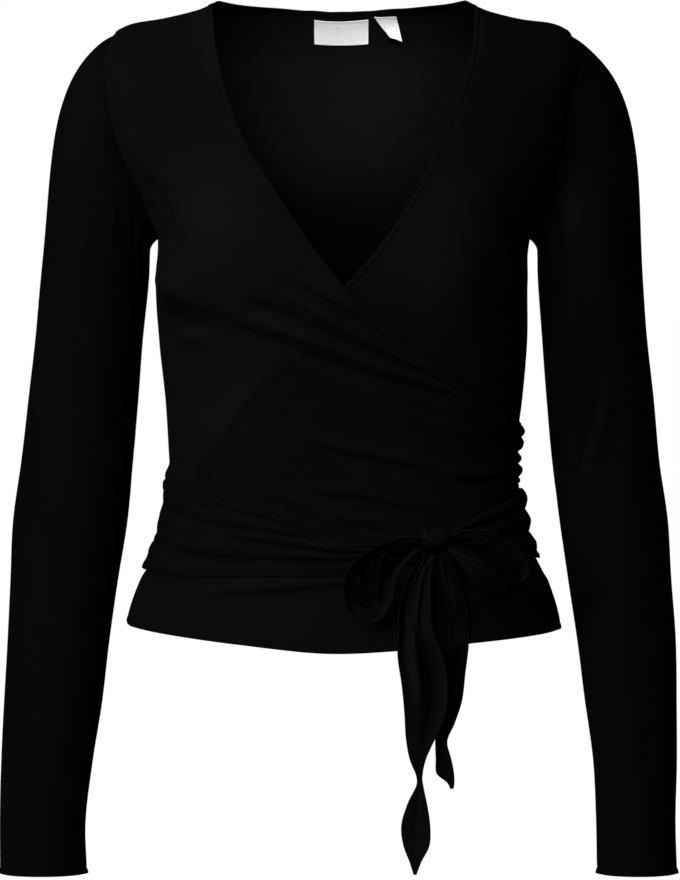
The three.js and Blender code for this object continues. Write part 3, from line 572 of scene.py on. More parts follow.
def jersey(name, dark, light, streaks=0.5, painted_shading_step=1.0, loops=0.35):
    """Black jersey between two greys. painted_shading_step is how far one unit of a piece's painted light
    and shade moves it.
    """
    material, tree = new_finish(name)
    place = node(tree, "ShaderNodeUVMap", uv_map="cloth").outputs[0]
    split = node(tree, "ShaderNodeSeparateXYZ", {0: place})
    across = math_node(tree, "DIVIDE", split.outputs[0], LOOP_WIDTH)
    rows = math_node(tree, "DIVIDE", split.outputs[1], ROW_HEIGHT)
    leg = math_node(tree, "PINGPONG", across, 0.5)
    slanted = math_node(tree, "ADD", rows, math_node(tree, "MULTIPLY", leg, 1.1))
    loop = math_node(tree, "SINE", math_node(tree, "MULTIPLY", slanted, 2 * math.pi))
    column = math_node(tree, "SINE", math_node(tree, "MULTIPLY", leg, 2 * math.pi))
    knit = math_node(tree, "ADD", math_node(tree, "MULTIPLY", loop, 0.45), column)

    stretched = node(tree, "ShaderNodeMapping", {"Vector": place, "Scale": STREAKS}).outputs[0]
    ribbed = node(tree, "ShaderNodeMapping", {"Vector": place, "Scale": RIBS}).outputs[0]
    streak, rib = noise(tree, stretched, 1.0, 3.0), noise(tree, ribbed, 1.0, 2.0)
    patch = noise(tree, place, 16.0, 3.0)
    uneven = math_node(tree, "ADD", math_node(tree, "MULTIPLY", streak, streaks),
                       math_node(tree, "MULTIPLY", rib, 0.4 * streaks))
    uneven = math_node(tree, "ADD", uneven, math_node(tree, "MULTIPLY", patch, 0.6))
    level = node(tree, "ShaderNodeMapRange", {0: uneven, 1: 0.35, 2: 1.05}).outputs[0]
    # the painted light and shade stored with each piece moves the colour between the two greys
    painted_shading = node(tree, "ShaderNodeAttribute", attribute_name="painted_shading").outputs["Fac"]
    level = math_node(tree, "ADD", level, math_node(tree, "MULTIPLY", painted_shading, painted_shading_step))
    colour = node(tree, "ShaderNodeMix", {0: level, 6: grey(dark), 7: grey(light)},
                  data_type="RGBA", clamp_factor=False).outputs[2]
    rough = node(tree, "ShaderNodeMapRange", {0: streak, 1: 0.2, 2: 0.8, 3: 0.78, 4: 0.92}).outputs[0]
    bump = node(tree, "ShaderNodeBump", {"Height": knit, "Strength": loops, "Distance": 0.00012}).outputs[0]
    shader = node(tree, "ShaderNodeBsdfPrincipled", {
        "Base Color": colour, "Roughness": rough, "Normal": bump,
        "Specular IOR Level": 0.05, "Sheen Weight": 0.004, "Sheen Roughness": 0.45,
    })
    node(tree, "ShaderNodeOutputMaterial", {"Surface": shader.outputs[0]})
    return material


# one black jersey in three pairs of greys: the sleeves' darker copy is painted shade and the ties' lighter
# copy painted light, for how much light each group gets
body_jersey = jersey("body_jersey", 0.0028, 0.0050, streaks=1.3, painted_shading_step=1.1)
shaded_sleeve_jersey = jersey("shaded_sleeve_jersey", 0.0023, 0.0043, streaks=1.0)
tie_jersey = jersey("tie_jersey", 0.0032, 0.0060, streaks=0.7)
print("finishes:", [m.name for m in bpy.data.materials if m.name.endswith("jersey")])

# %% White ribbon
WARP, WEFT = 0.00035, 0.00028


def ribbon_weave(name):
    """Smooth white ribbon in a fine plain weave."""
    material, tree = new_finish(name)
    place = node(tree, "ShaderNodeUVMap", uv_map="cloth").outputs[0]
    split = node(tree, "ShaderNodeSeparateXYZ", {0: place})
    warp = math_node(tree, "SINE", math_node(tree, "MULTIPLY", split.outputs[0], 2 * math.pi / WARP))
    weft = math_node(tree, "SINE", math_node(tree, "MULTIPLY", split.outputs[1], 2 * math.pi / WEFT))
    weave = math_node(tree, "MULTIPLY", warp, weft)
    level = node(tree, "ShaderNodeMapRange", {0: noise(tree, place, 140.0, 2.0), 1: 0.3, 2: 0.7}).outputs[0]
    colour = node(tree, "ShaderNodeMix", {0: level, 6: (0.78, 0.79, 0.81, 1), 7: (0.86, 0.865, 0.88, 1)},
                  data_type="RGBA").outputs[2]
    bump = node(tree, "ShaderNodeBump", {"Height": weave, "Strength": 0.25, "Distance": 0.00008}).outputs[0]
    shader = node(tree, "ShaderNodeBsdfPrincipled", {
        "Base Color": colour, "Roughness": 0.55, "Normal": bump,
        "Specular IOR Level": 0.35, "Sheen Weight": 0.1,
    })
    node(tree, "ShaderNodeOutputMaterial", {"Surface": shader.outputs[0]})
    return material


white_ribbon = ribbon_weave("white_ribbon")
print("ribbon:", white_ribbon.name)

# %% [markdown]
# ## Turned edges and seams
# Neck, hem and cuffs are turned in once and stitched a few millimetres from the edge: the cloth is a little
# thicker there, with a shallow groove under the stitches. A seam between two panels is a fine valley with
# a slight rise beside it. Both are a function of the distance from the edge, and the rows of the grid lie
# closer together where it changes fast.

# %% Heights near an edge
TURN_WIDTH = 4.2
EDGE_STEPS = (0, 0.4, 1.0, 2.0, 3.2, 3.7, 4.2, 4.7, 5.3, 6.4)


def turned_edge(distance, width=TURN_WIDTH, depth=1.0):
    folded = 0.35 * (1 - smoothstep(width - 0.5, width + 0.5, distance))
    groove = 0.5 * np.exp(-(((distance - width) / 0.75) ** 2))
    rolled = 0.5 * np.exp(-((distance / 0.8) ** 2))
    return depth * (folded - groove - rolled)


def seam_valley(distance):
    return 0.3 * np.exp(-(((distance - 3.2) / 2.2) ** 2)) - 0.75 * np.exp(-((distance / 1.3) ** 2))


def graded(count, length, near_start=(0,), near_end=(0,)):
    """Shares of a length: at stated millimetres from both ends, and evenly spread between them."""
    start, end = np.array(near_start) / length, 1 - np.array(near_end)[::-1] / length
    middle = np.linspace(start[-1], end[0], count - len(start) - len(end) + 3)
    return np.concatenate([start[:-1], middle, end[1:]])


def even_out(grid, row, reach, both_sides=False):
    """Spreads the rows near a corner of the outer seam, where they would bunch up."""
    near = slice(row - reach, row + reach + 1)
    t = np.linspace(0, 1, 2 * reach + 1)[:, None, None]
    straight = grid[row - reach] * (1 - t) + grid[row + reach] * t
    u = np.linspace(0, 1, grid.shape[1])
    inward = np.minimum(u, 1 - u) if both_sides else u
    share = smoothstep(0, 0.035, inward)[None, :, None]
    grid[near] = onto_figure(grid[near] + (straight - grid[near]) * share)
    return grid


def panel_grid(top, bottom, left, right, columns, rows, near_top=(0,), near_bottom=(0,)):
    """Fills the space between four seams, with rows at even distances from the top and the bottom."""
    def fill(u, v):
        a, b = u[..., None], v[..., None]
        corners = top(0.0) * (1 - a) * (1 - b) + top(1.0) * a * (1 - b)
        corners = corners + bottom(0.0) * (1 - a) * b + bottom(1.0) * a * b
        return onto_figure(top(u) * (1 - b) + bottom(u) * b + left(v) * (1 - a) + right(v) * a - corners)

    u = np.linspace(0, 1, columns + 1)
    coarse_u, coarse_v = np.meshgrid(u, np.linspace(0, 1, 25))
    lengths = run_lengths(fill(coarse_u, coarse_v), 0)[-1]
    v = np.stack([graded(rows, length, near_top, near_bottom) for length in lengths], 1)
    return fill(np.broadcast_to(u, v.shape), v)


# %% Stitch lines
STITCH_LINES = []


def line_at(grid, distance, wanted):
    """The line across a grid's columns where the distance from an edge has one value."""
    columns = range(grid.shape[1])
    return np.array([[np.interp(wanted, distance[:, i], grid[:, i, k]) for k in range(3)] for i in columns])


def keep_stitches(points, outward, first=0.0, last=1.0):
    """Notes a line of stitches on the outer face of the cloth, between two shares of its length."""
    line = path(points + outward * (CLOTH / 2 + 0.02), fine=3)
    STITCH_LINES.append((line, path(outward, fine=3), first, last))


def stitch_edge(cloth_grid, distance, first=0.0, last=1.0):
    """Notes the stitches of a panel's turned edge, from the distance of each point to that edge."""
    line = line_at(cloth_grid, distance, TURN_WIDTH)
    keep_stitches(line, figure_normal(line), first, last)


# %% Neck edges, as they are seen from the front and the back
OUTER_NECK = np.array([
    (-97.2, -1.2), (-95.2, -14.6), (-94.1, -28.8), (-91.9, -44.6), (-87.1, -64.1), (-79.9, -84.9),
    (-70.1, -109.8), (-56.5, -130.6), (-42.5, -153.7), (-30.2, -171.7), (-16.5, -190.7), (1.1, -212),
    (28.3, -237), (55.6, -260), (76.7, -273.8), (105.5, -297),
])
UNDER_NECK = np.array([
    (97.2, -2), (98, -14), (96.7, -31.8), (92.3, -53.7), (85.5, -74.1), (70.2, -109.4), (60.1, -131.3),
    (48.3, -152.9), (36.5, -171.2), (20.1, -192.8), (1.1, -213.5), (-17, -237), (-35.9, -262.4),
    (-54.3, -278.6), (-73, -301.8), (-87, -322.8), (-103.6, -344),
])
BACK_NECK = np.array([
    (97, -1.5), (80, -1.8), (50, -4.2), (20, -6.2), (0, -6.6), (-20, -6.2), (-50, -4.4), (-80, -2),
    (-97, -1.2),
])


def neck_points(points, towards=-1):
    return facing_point(points[:, 0], points[:, 1], towards)


print("neck edge points:", len(OUTER_NECK), len(UNDER_NECK), len(BACK_NECK))

# %% [markdown]
# ## The back
# One panel from the shoulder seams to the hem. The photograph shows only its inside, through the neck. Its
# outside is finished in the way of the front: soft creases where the ties draw the waist in, a turned
# neck edge and a narrow hem.

# %% The back panel
# places are (degrees round the body x DEGREE, height)
BACK_CREASES = [
    ([(250, -190), (300, -232), (352, -262)], 9, 1.3, 2.0, 0.4, 0.4),
    ([(470, -196), (430, -240), (380, -276)], 8, 1.5, 2.0, 0.4, 0.4),
    ([(262, -214), (306, -251), (350, -283)], 4.0, -1.3, 1.4, 0.4, 0.4),
    ([(452, -222), (418, -262), (372, -298)], 4.5, -1.5, 1.4, 0.4, 0.4),
    ([(218, -262), (270, -284), (338, -298), (392, -300)], 8, 1.6, 2.0, 0.3, 0.3),
    ([(226, -276), (276, -297), (330, -309), (396, -311)], 3.6, -1.5, 1.3, 0.3, 0.35),
    ([(505, -268), (462, -292), (420, -305)], 4.2, -1.4, 1.3, 0.3, 0.4),
    ([(210, -304), (262, -320), (330, -329), (398, -333), (450, -330)], 6, 1.5, 2.0, 0.2, 0.4),
    ([(214, -313), (270, -330), (336, -338), (392, -340)], 3.2, -1.5, 1.3, 0.2, 0.4),
    ([(508, -304), (470, -322), (432, -333)], 6, 1.3, 2.0, 0.2, 0.4),
    ([(300, -440), (350, -436), (402, -438), (440, -443)], 3.6, -1.8, 1.4, 0.4, 0.4),
    ([(290, -430), (340, -427), (410, -428)], 5, 1.1, 2.0, 0.3, 0.3),
    ([(236, -150), (252, -186), (258, -214)], 6, -1.3, 1.6, 0.2, 0.5),
    ([(484, -148), (470, -184), (466, -210)], 5, -1.2, 1.6, 0.2, 0.5),
]
# painted shade on the inside of the back: deeper along the neck edge, at both sides and at the bottom of the
# V, where little light reaches it; centre x and z, half width, half height, amount
BACK_PAINTED_SHADE = [
    (0, -22, 130, 56, -1.05), (0, -88, 90, 40, -0.65), (-78, -100, 28, 80, -0.45), (78, -100, 28, 80, -0.45),
    (0, -206, 80, 32, -1.0),
]


def make_back():
    neck = neck_points(BACK_NECK, 1)
    left_seam, right_seam = shoulder_seam(-1, neck[-1]), shoulder_seam(1, neck[0])
    top = chain((0.22, left_seam, True), (0.56, path(neck[::-1]), False), (0.22, right_seam, False))
    sides = [
        chain((0.38, armhole_seam(side, 360, 180), False), (0.62, side_seam(side), False))
        for side in (-1, 1)
    ]
    grid = panel_grid(top, hem_line(-90, -270), *sides, 168, 150, EDGE_STEPS, EDGE_STEPS)
    grid = even_out(grid, row=57, reach=8, both_sides=True)
    x, z = grid[..., 0], grid[..., 2]
    along = (around_of(grid) % 360) * DEGREE
    from_side = run_lengths(grid, 1)
    to_side = from_side[:, -1:] - from_side
    from_top = run_lengths(grid, 0)
    to_hem = from_top[-1] - from_top
    u = np.linspace(0, 1, grid.shape[1])
    on_neck = smoothstep(0.215, 0.235, u) * smoothstep(0.785, 0.765, u)
    height = turned_edge(from_top) * on_neck + seam_valley(from_top) * (1 - on_neck)
    height = height + turned_edge(to_hem, depth=0.6) + seam_valley(from_side) + seam_valley(to_side)
    inside = smoothstep(2, 14, np.minimum(from_side, to_side)) * smoothstep(2, 14, to_hem)
    height = height + inside * (creases(BACK_CREASES, along, z) + waver(along, z, 62, 0.5))
    height = height + shoulder_lift(grid)
    lifted = lift(grid, height)
    stitch_edge(lifted, from_top, 0.225, 0.775)
    stitch_edge(lifted[::-1], to_hem[::-1])
    # painted shade: the patches above and painted fold shading in creases, seams and turned edges
    painted_shading = painted_patches(BACK_PAINTED_SHADE, x, z) + painted_fold_shading(height, 0.1)
    return cloth("back_cloth", "back", lifted, body_jersey, along, z, painted_shading)


back = make_back()

# %% [markdown]
# ## The two fronts
# Each front runs from its shoulder down its neck edge and across to the other side of the waist. The
# outer one lies over the under one and shows where the under one ends, because a single layer of thin black
# cloth lets light through from inside and two layers do not. That light is painted: the painted_shading
# stored with the cloth is 1 where one layer shows and 0 where two lie on each other, before the folds add to
# it.
#
# The outer front is drawn together where its tie begins, so its creases fan out from there.

# %% The under front
UNDER_CREASES = [
    ([(116, -138), (124, -160), (131, -184)], 6, -1.3, 1.7, 0.2, 0.5),
    ([(108, -150), (112, -176), (114, -198)], 8, 1.2, 2.0, 0.3, 0.5),
    ([(98, -226), (122, -234), (146, -238)], 9, -1.6, 2.0, 0.4, 0.1),
]


def side_front(side, neck, end_angle, end_top):
    """The four seams of a front: its neck edge, hem, outer edge and wrapped end."""
    end = around_point(end_angle, end_top)
    top = path([*neck, end])
    outer_edge = chain(
        (0.14, shoulder_seam(side, neck[0]), False), (0.32, armhole_seam(side, 0, 180), False),
        (0.54, side_seam(side), False),
    )
    heights = end_top + (float(hem_height(end_angle)) - end_top) * np.linspace(0, 1, 9)
    return top, hem_line(side * 90, end_angle), outer_edge, path(around_point(float(end_angle), heights))


# painted light on the under front: painted highlights on the right bust and below it, painted shade over the
# shoulder and on the right side; centre x and z, half width, half height, amount
UNDER_PAINTED_LIGHT = [
    (80, -190, 32, 46, 2.1), (70, -224, 22, 18, 0.5), (118, -70, 52, 60, -0.8), (132, -250, 18, 40, -0.4),
]


def make_under_front():
    seams = side_front(1, neck_points(UNDER_NECK), end_angle=-76, end_top=-358)
    grid = panel_grid(*seams, 122, 150, EDGE_STEPS, (0, 3, 7))
    grid = even_out(grid, row=28, reach=10)
    x, z = grid[..., 0], grid[..., 2]
    along = around_of(grid) * DEGREE
    from_edge, from_neck = run_lengths(grid, 1), run_lengths(grid, 0)
    height = turned_edge(from_neck) + seam_valley(from_edge)
    covered = smoothstep(-205, -235, z) * smoothstep(120, 40, along)
    detail = creases(UNDER_CREASES, along, z) + waver(along, z, 58, 0.45, 1.0)
    free = smoothstep(1, 12, from_edge) * smoothstep(0, 8, from_neck) * (1 - 0.8 * covered)
    lifted = lift(grid, height + free * detail + shoulder_lift(grid))
    stitch_edge(lifted, from_neck, last=0.56)
    # painted light and shade: a lift of 0.3 for the whole piece, the patches above and painted fold shading
    painted_shading = 0.3 + painted_patches(UNDER_PAINTED_LIGHT, x, z) + painted_fold_shading(detail)
    return cloth("front_under_cloth", "front_under", lifted, body_jersey, along, z, painted_shading)


front_under = make_under_front()

# %% The outer front's creases
# places are (degrees round the body x DEGREE, height); then width, height, sharpness and the two fades
OUTER_CREASES = [
    ([(-68, -195), (-41, -203), (-9.4, -218), (20.6, -233), (50, -254.5), (70, -268.5)],
     6.5, 2.8, 2.0, 0.35, 0.3),
    ([(-56, -206), (-38, -211), (-19, -221), (-1.6, -229), (16, -237), (35, -248), (50, -260), (64, -271),
      (86, -284)], 2.8, -3.4, 1.25, 0.3, 0.3),
    ([(-67, -214), (-42, -219), (-19, -231), (6.6, -243.5), (31, -254.5), (57, -266), (79, -276),
      (102, -291), (128, -305), (148, -315), (166, -321)], 5.0, 4.8, 2.0, 0.2, 0.0),
    ([(-77, -223), (-63, -227), (-53, -230), (-33, -238), (-20, -243), (12, -254.5), (45, -267), (64, -275),
      (82, -282), (106, -295), (130, -308.5), (150, -320), (166, -326)], 2.4, -5.0, 1.2, 0.1, 0.0),
    ([(-82, -232.6), (-65, -238), (-41, -246), (-10, -257), (24, -269), (52, -277), (80, -285.5),
      (104, -297), (130, -312), (150, -324.5), (166, -331)], 4.8, 5.2, 2.0, 0.13, 0.0),
    ([(-89, -239), (-67, -249), (-33, -259), (6, -271.4), (46, -282), (82, -290), (95, -294.5), (111, -301),
      (132, -316.5), (150, -329), (166, -336)], 2.7, -5.2, 1.2, 0.09, 0.0),
    ([(-78, -252), (-43, -264), (-2, -277), (41, -289), (81, -298), (112, -308), (134, -321), (150, -333),
      (166, -341)], 6.0, 1.8, 2.0, 0.4, 0.0),
    ([(-150, -224), (-134, -229), (-114, -236), (-98, -240), (-80, -245), (-64, -250)],
     7.0, -6.0, 1.6, 0.12, 0.45),
    ([(-152, -208), (-124, -214), (-98, -224)], 9, 2.2, 2.0, 0.1, 0.4),
    ([(-140, -246), (-118, -250), (-96, -252)], 5, 1.6, 2.0, 0.3, 0.4),
    ([(-138, -258), (-116, -261), (-92, -262)], 5, -1.4, 1.8, 0.3, 0.5),
    ([(60, -292), (90, -299), (112, -307), (132, -322), (150, -337), (166, -346)],
     2.4, -1.9, 1.3, 0.4, 0.0),
    ([(50, -300), (74, -305), (97, -311.5), (117, -318), (136, -329)], 2.3, -1.4, 1.3, 0.4, 0.3),
    ([(46, -311), (75, -317), (101, -323), (122, -328), (136, -335)], 2.4, -1.5, 1.3, 0.4, 0.3),
    ([(54, -304), (84, -311), (114, -321), (134, -333), (152, -345), (166, -351)], 3.6, 1.9, 2.0, 0.4, 0.0),
    ([(-41, -317), (-10, -328), (16, -333), (35, -336), (56, -339), (74, -343), (93, -350.5), (124, -352),
      (144, -351), (166, -351)], 4.2, 2.6, 2.0, 0.25, 0.0),
    ([(-38, -322), (-10, -334), (16, -339), (35, -342), (56, -345), (74, -349), (92, -356), (124, -358.5),
      (148, -357), (166, -356)], 2.5, -2.8, 1.25, 0.22, 0.0),
    ([(18, -320), (32, -326.5), (43, -331.6), (62, -336)], 2.4, -1.0, 1.4, 0.4, 0.4),
    ([(56, -315), (80, -321), (102, -329), (126, -338)], 2.4, -1.2, 1.4, 0.4, 0.1),
    ([(-20, -345), (20, -352), (58, -360), (86, -368)], 5.0, 1.1, 2.0, 0.4, 0.4),
    ([(-51, -358), (-11, -362), (26, -365), (62, -371), (87, -375), (106, -379.5)],
     4.2, 1.7, 2.0, 0.3, 0.2),
    ([(-45, -363), (-11, -368), (26, -371), (62, -377), (84, -380), (102, -383)], 2.5, -1.7, 1.3, 0.3, 0.2),
    ([(24, -359), (39, -362.5), (62, -368.5), (84, -376), (100, -383)], 2.3, -1.3, 1.3, 0.4, 0.2),
    ([(-70, -367), (-47, -368), (-21, -376), (7, -382), (39, -385), (64, -390)], 4.2, 1.9, 2.0, 0.3, 0.2),
    ([(-81, -377.6), (-68, -372), (-56, -371.4), (-45, -376), (-34, -383), (-7, -389), (24, -391),
      (48, -397)], 2.6, -1.9, 1.3, 0.25, 0.1),
    ([(-124, -356), (-110, -347), (-99, -339.6), (-86, -335)], 4.5, -1.1, 1.8, 0.3, 0.5),
    ([(-132, -350), (-112, -358), (-92, -364)], 3.0, -0.9, 1.5, 0.3, 0.4),
    ([(-134, -132), (-126, -152), (-117, -178), (-110, -196)], 6.5, -2.6, 1.8, 0.1, 0.5),
    ([(-144, -148), (-138, -168), (-131, -196)], 5.5, -2.4, 1.8, 0.1, 0.5),
    ([(-153, -431), (-130, -430.4), (-111, -430.3), (-98, -431.3), (-80, -432)],
     2.4, -2.8, 1.25, 0.05, 0.4),
    ([(-120, -438), (-90, -436), (-60, -434.5), (-28, -431.5), (10, -429)], 4.4, 3.2, 2.0, 0.25, 0.15),
    ([(-112, -443), (-90, -441.3), (-70, -439.5), (-35, -437), (1, -434.7), (30, -434)],
     2.6, -4.6, 1.25, 0.3, 0.12),
    ([(60, -436), (96, -433), (130, -430), (170, -428)], 3.2, -1.6, 1.4, 0.3, 0.1),
    ([(70, -446), (110, -445), (160, -440)], 6, 1.2, 2.0, 0.3, 0.2),
    ([(124, -375), (150, -372), (172, -366)], 3.0, -1.6, 1.4, 0.4, 0.0),
    ([(120, -390), (148, -388), (172, -384)], 4.0, 1.6, 2.0, 0.4, 0.0),
    ([(116, -404), (146, -402), (172, -400)], 3.0, -1.5, 1.4, 0.4, 0.0),
]
# how far the outer front lies off the figure where it covers the under one, and where it doesn't
OUTER_LAYER, SINGLE_LAYER = 3.0, 1.0
SLIT = {"z": -371, "half": 16, "blend": 10, "lift": 4.8}
# where the edges of the tie across the front press on the cloth
SASH_TOP = np.array([
    (-182, -358), (-156, -361), (-124, -366), (-92, -373), (-64, -380), (-32, -389), (4, -396), (36, -397),
    (66, -397),
])
SASH_BOTTOM = np.array([
    (-182, -427), (-156, -428), (-92, -428), (-32, -427), (4, -426), (36, -423), (66, -416),
])

# %% The outer front
UNDER_EDGE = np.vstack([
    [(-150, -376), (-128, -370), (-112, -361)], UNDER_NECK[:9:-1], [(30, -196), (60, -180)],
])


def under_edge_height(x):
    """How high the under front's neck edge runs behind the outer front at each x."""
    return np.interp(x, UNDER_EDGE[:, 0], UNDER_EDGE[:, 1])


def under_sash(along, z, soft=5.0):
    """1 where the tie across the front presses on the cloth, falling to 0 just beside it."""
    top = np.interp(along, SASH_TOP[:, 0], SASH_TOP[:, 1])
    bottom = np.interp(along, SASH_BOTTOM[:, 0], SASH_BOTTOM[:, 1])
    on = smoothstep(top + soft, top - 1, z) * smoothstep(bottom - soft, bottom + 1, z)
    return on * smoothstep(90, 66, along)


# painted light on the outer front: painted highlights on the left bust and lower left, painted shade over
# the shoulder, under the bust, on the right side and where the bow casts its shadow on the body; centre x
# and z, half width, half height, amount
OUTER_PAINTED_LIGHT = [
    (-104, -166, 30, 40, 0.6), (-125, -66, 46, 58, -0.65), (-126, -230, 30, 11, -1.1),
    (-140, -262, 16, 22, -0.3), (-90, -300, 22, 22, 0.35), (104, -420, 34, 40, -0.9),
    (118, -455, 24, 30, -0.9), (116, -305, 22, 50, -0.8),
]


def make_outer_front():
    seams = side_front(-1, neck_points(OUTER_NECK), end_angle=82, end_top=-316)
    grid = panel_grid(*seams, 178, 236, EDGE_STEPS, EDGE_STEPS)
    grid = even_out(grid, row=38, reach=14)
    x, z = grid[..., 0], grid[..., 2]
    along = around_of(grid) * DEGREE
    from_edge, from_neck = run_lengths(grid, 1), run_lengths(grid, 0)
    to_end, to_hem = from_edge[:, -1:] - from_edge, from_neck[-1] - from_neck
    u = np.linspace(0, 1, grid.shape[1])
    edge_z = under_edge_height(x)
    covered = 1 - smoothstep(edge_z + 2, edge_z + 24, z)
    base = SINGLE_LAYER + (OUTER_LAYER - SINGLE_LAYER) * covered
    seam_rise = smoothstep(0, 0.1, u)
    in_slit = smoothstep(SLIT["half"] + SLIT["blend"], SLIT["half"], np.abs(z - SLIT["z"]))
    slit_lift = SLIT["lift"] * in_slit * smoothstep(-92, -112, x)
    folds = creases(OUTER_CREASES, along, z) + waver(along, z, 55, 0.45, 2.0)
    folds = folds * smoothstep(1, 12, from_edge) * smoothstep(0, 6, from_neck) * smoothstep(2, 12, to_hem)
    pressed = under_sash(along, z)
    folds = folds * (1 - 0.85 * pressed)
    ridge = 0.8 * np.exp(-(((z - edge_z) / 1.6) ** 2)) * smoothstep(-12, -24, x) * smoothstep(-361, -345, z)
    height = np.maximum(base * seam_rise, slit_lift) + folds * np.maximum(seam_rise, 0.5)
    lowest = -2.5 + 3.75 * smoothstep(edge_z + 14, edge_z + 2, z)
    height = lowest + 0.5 * (height - lowest + np.sqrt((height - lowest) ** 2 + 0.3))
    height = height + turned_edge(from_neck) + turned_edge(to_hem, depth=0.6)
    height = height + seam_valley(from_edge) + 0.4 * seam_valley(to_end)
    height = height + ridge + shoulder_lift(grid)
    # painted light: where one layer shows, light comes through the thin cloth and it is painted lighter (1);
    # where two lie on each other it stays deeper (0); the boundary is crisp low down and soft above z -254,
    # and below z -392 the value eases to 0.45. The painted patches and painted fold shading add to it.
    blur = 0.9 + 26 * smoothstep(-274, -254, z)
    single = smoothstep(-blur, blur, z - edge_z)
    single = single + (0.45 - single) * smoothstep(-392, -404, z)
    painted_shading = single + painted_patches(OUTER_PAINTED_LIGHT, x, z) + painted_fold_shading(folds, 0.25)
    lifted = lift(grid, height)
    stitch_edge(lifted, from_neck)
    stitch_edge(lifted[::-1], to_hem[::-1])
    return cloth("front_outer_cloth", "front_outer", lifted, body_jersey, along, z, painted_shading)


front_outer = make_outer_front()

# %% [markdown]
# ## The sleeves
# Each sleeve leaves the armhole seam, rounds the shoulder and hangs down a little away from the body, as a
# narrow tube that ends in a cuff with a fine turned edge. Below the armhole the cloth lies in soft creases
# towards the seam, with a few more at the elbow.

# %% The sleeves' levels and creases
# level, middle and half width on the left, the same on the right, middle and half depth front to back
SLEEVE = np.array([
    (-188, -183.8, 39.8, 185.4, 38.6, 2, 44), (-209, -185.3, 40.3, 186.2, 39.0, 3, 43.5),
    (-254, -189.8, 40.0, 189.6, 38.8, 5, 42), (-299, -194.2, 41.3, 193.9, 39.5, 6, 41),
    (-344, -198.8, 42.0, 198.0, 39.9, 6, 41), (-389, -204.0, 42.6, 204.0, 40.6, 4, 41),
    (-434, -208.5, 39.9, 208.5, 38.4, 0, 39), (-479, -212.6, 38.0, 213.4, 36.5, -5, 37),
    (-524, -216.4, 36.5, 216.4, 34.3, -10, 34), (-569, -220.9, 33.5, 219.4, 31.4, -15, 31.5),
    (-614, -223.9, 31.3, 219.8, 29.4, -20, 30), (-651.5, -223.1, 32.0, 220.5, 29.4, -24, 30.5),
])
CAP_PULL = {-1: 162, 1: 180, "low": 18, "arrive": 1.14, "fall": 0.14, "low_fall": 0.9}
ROUND_ARM = 0.7  # millimetres of cloth for one degree round the arm
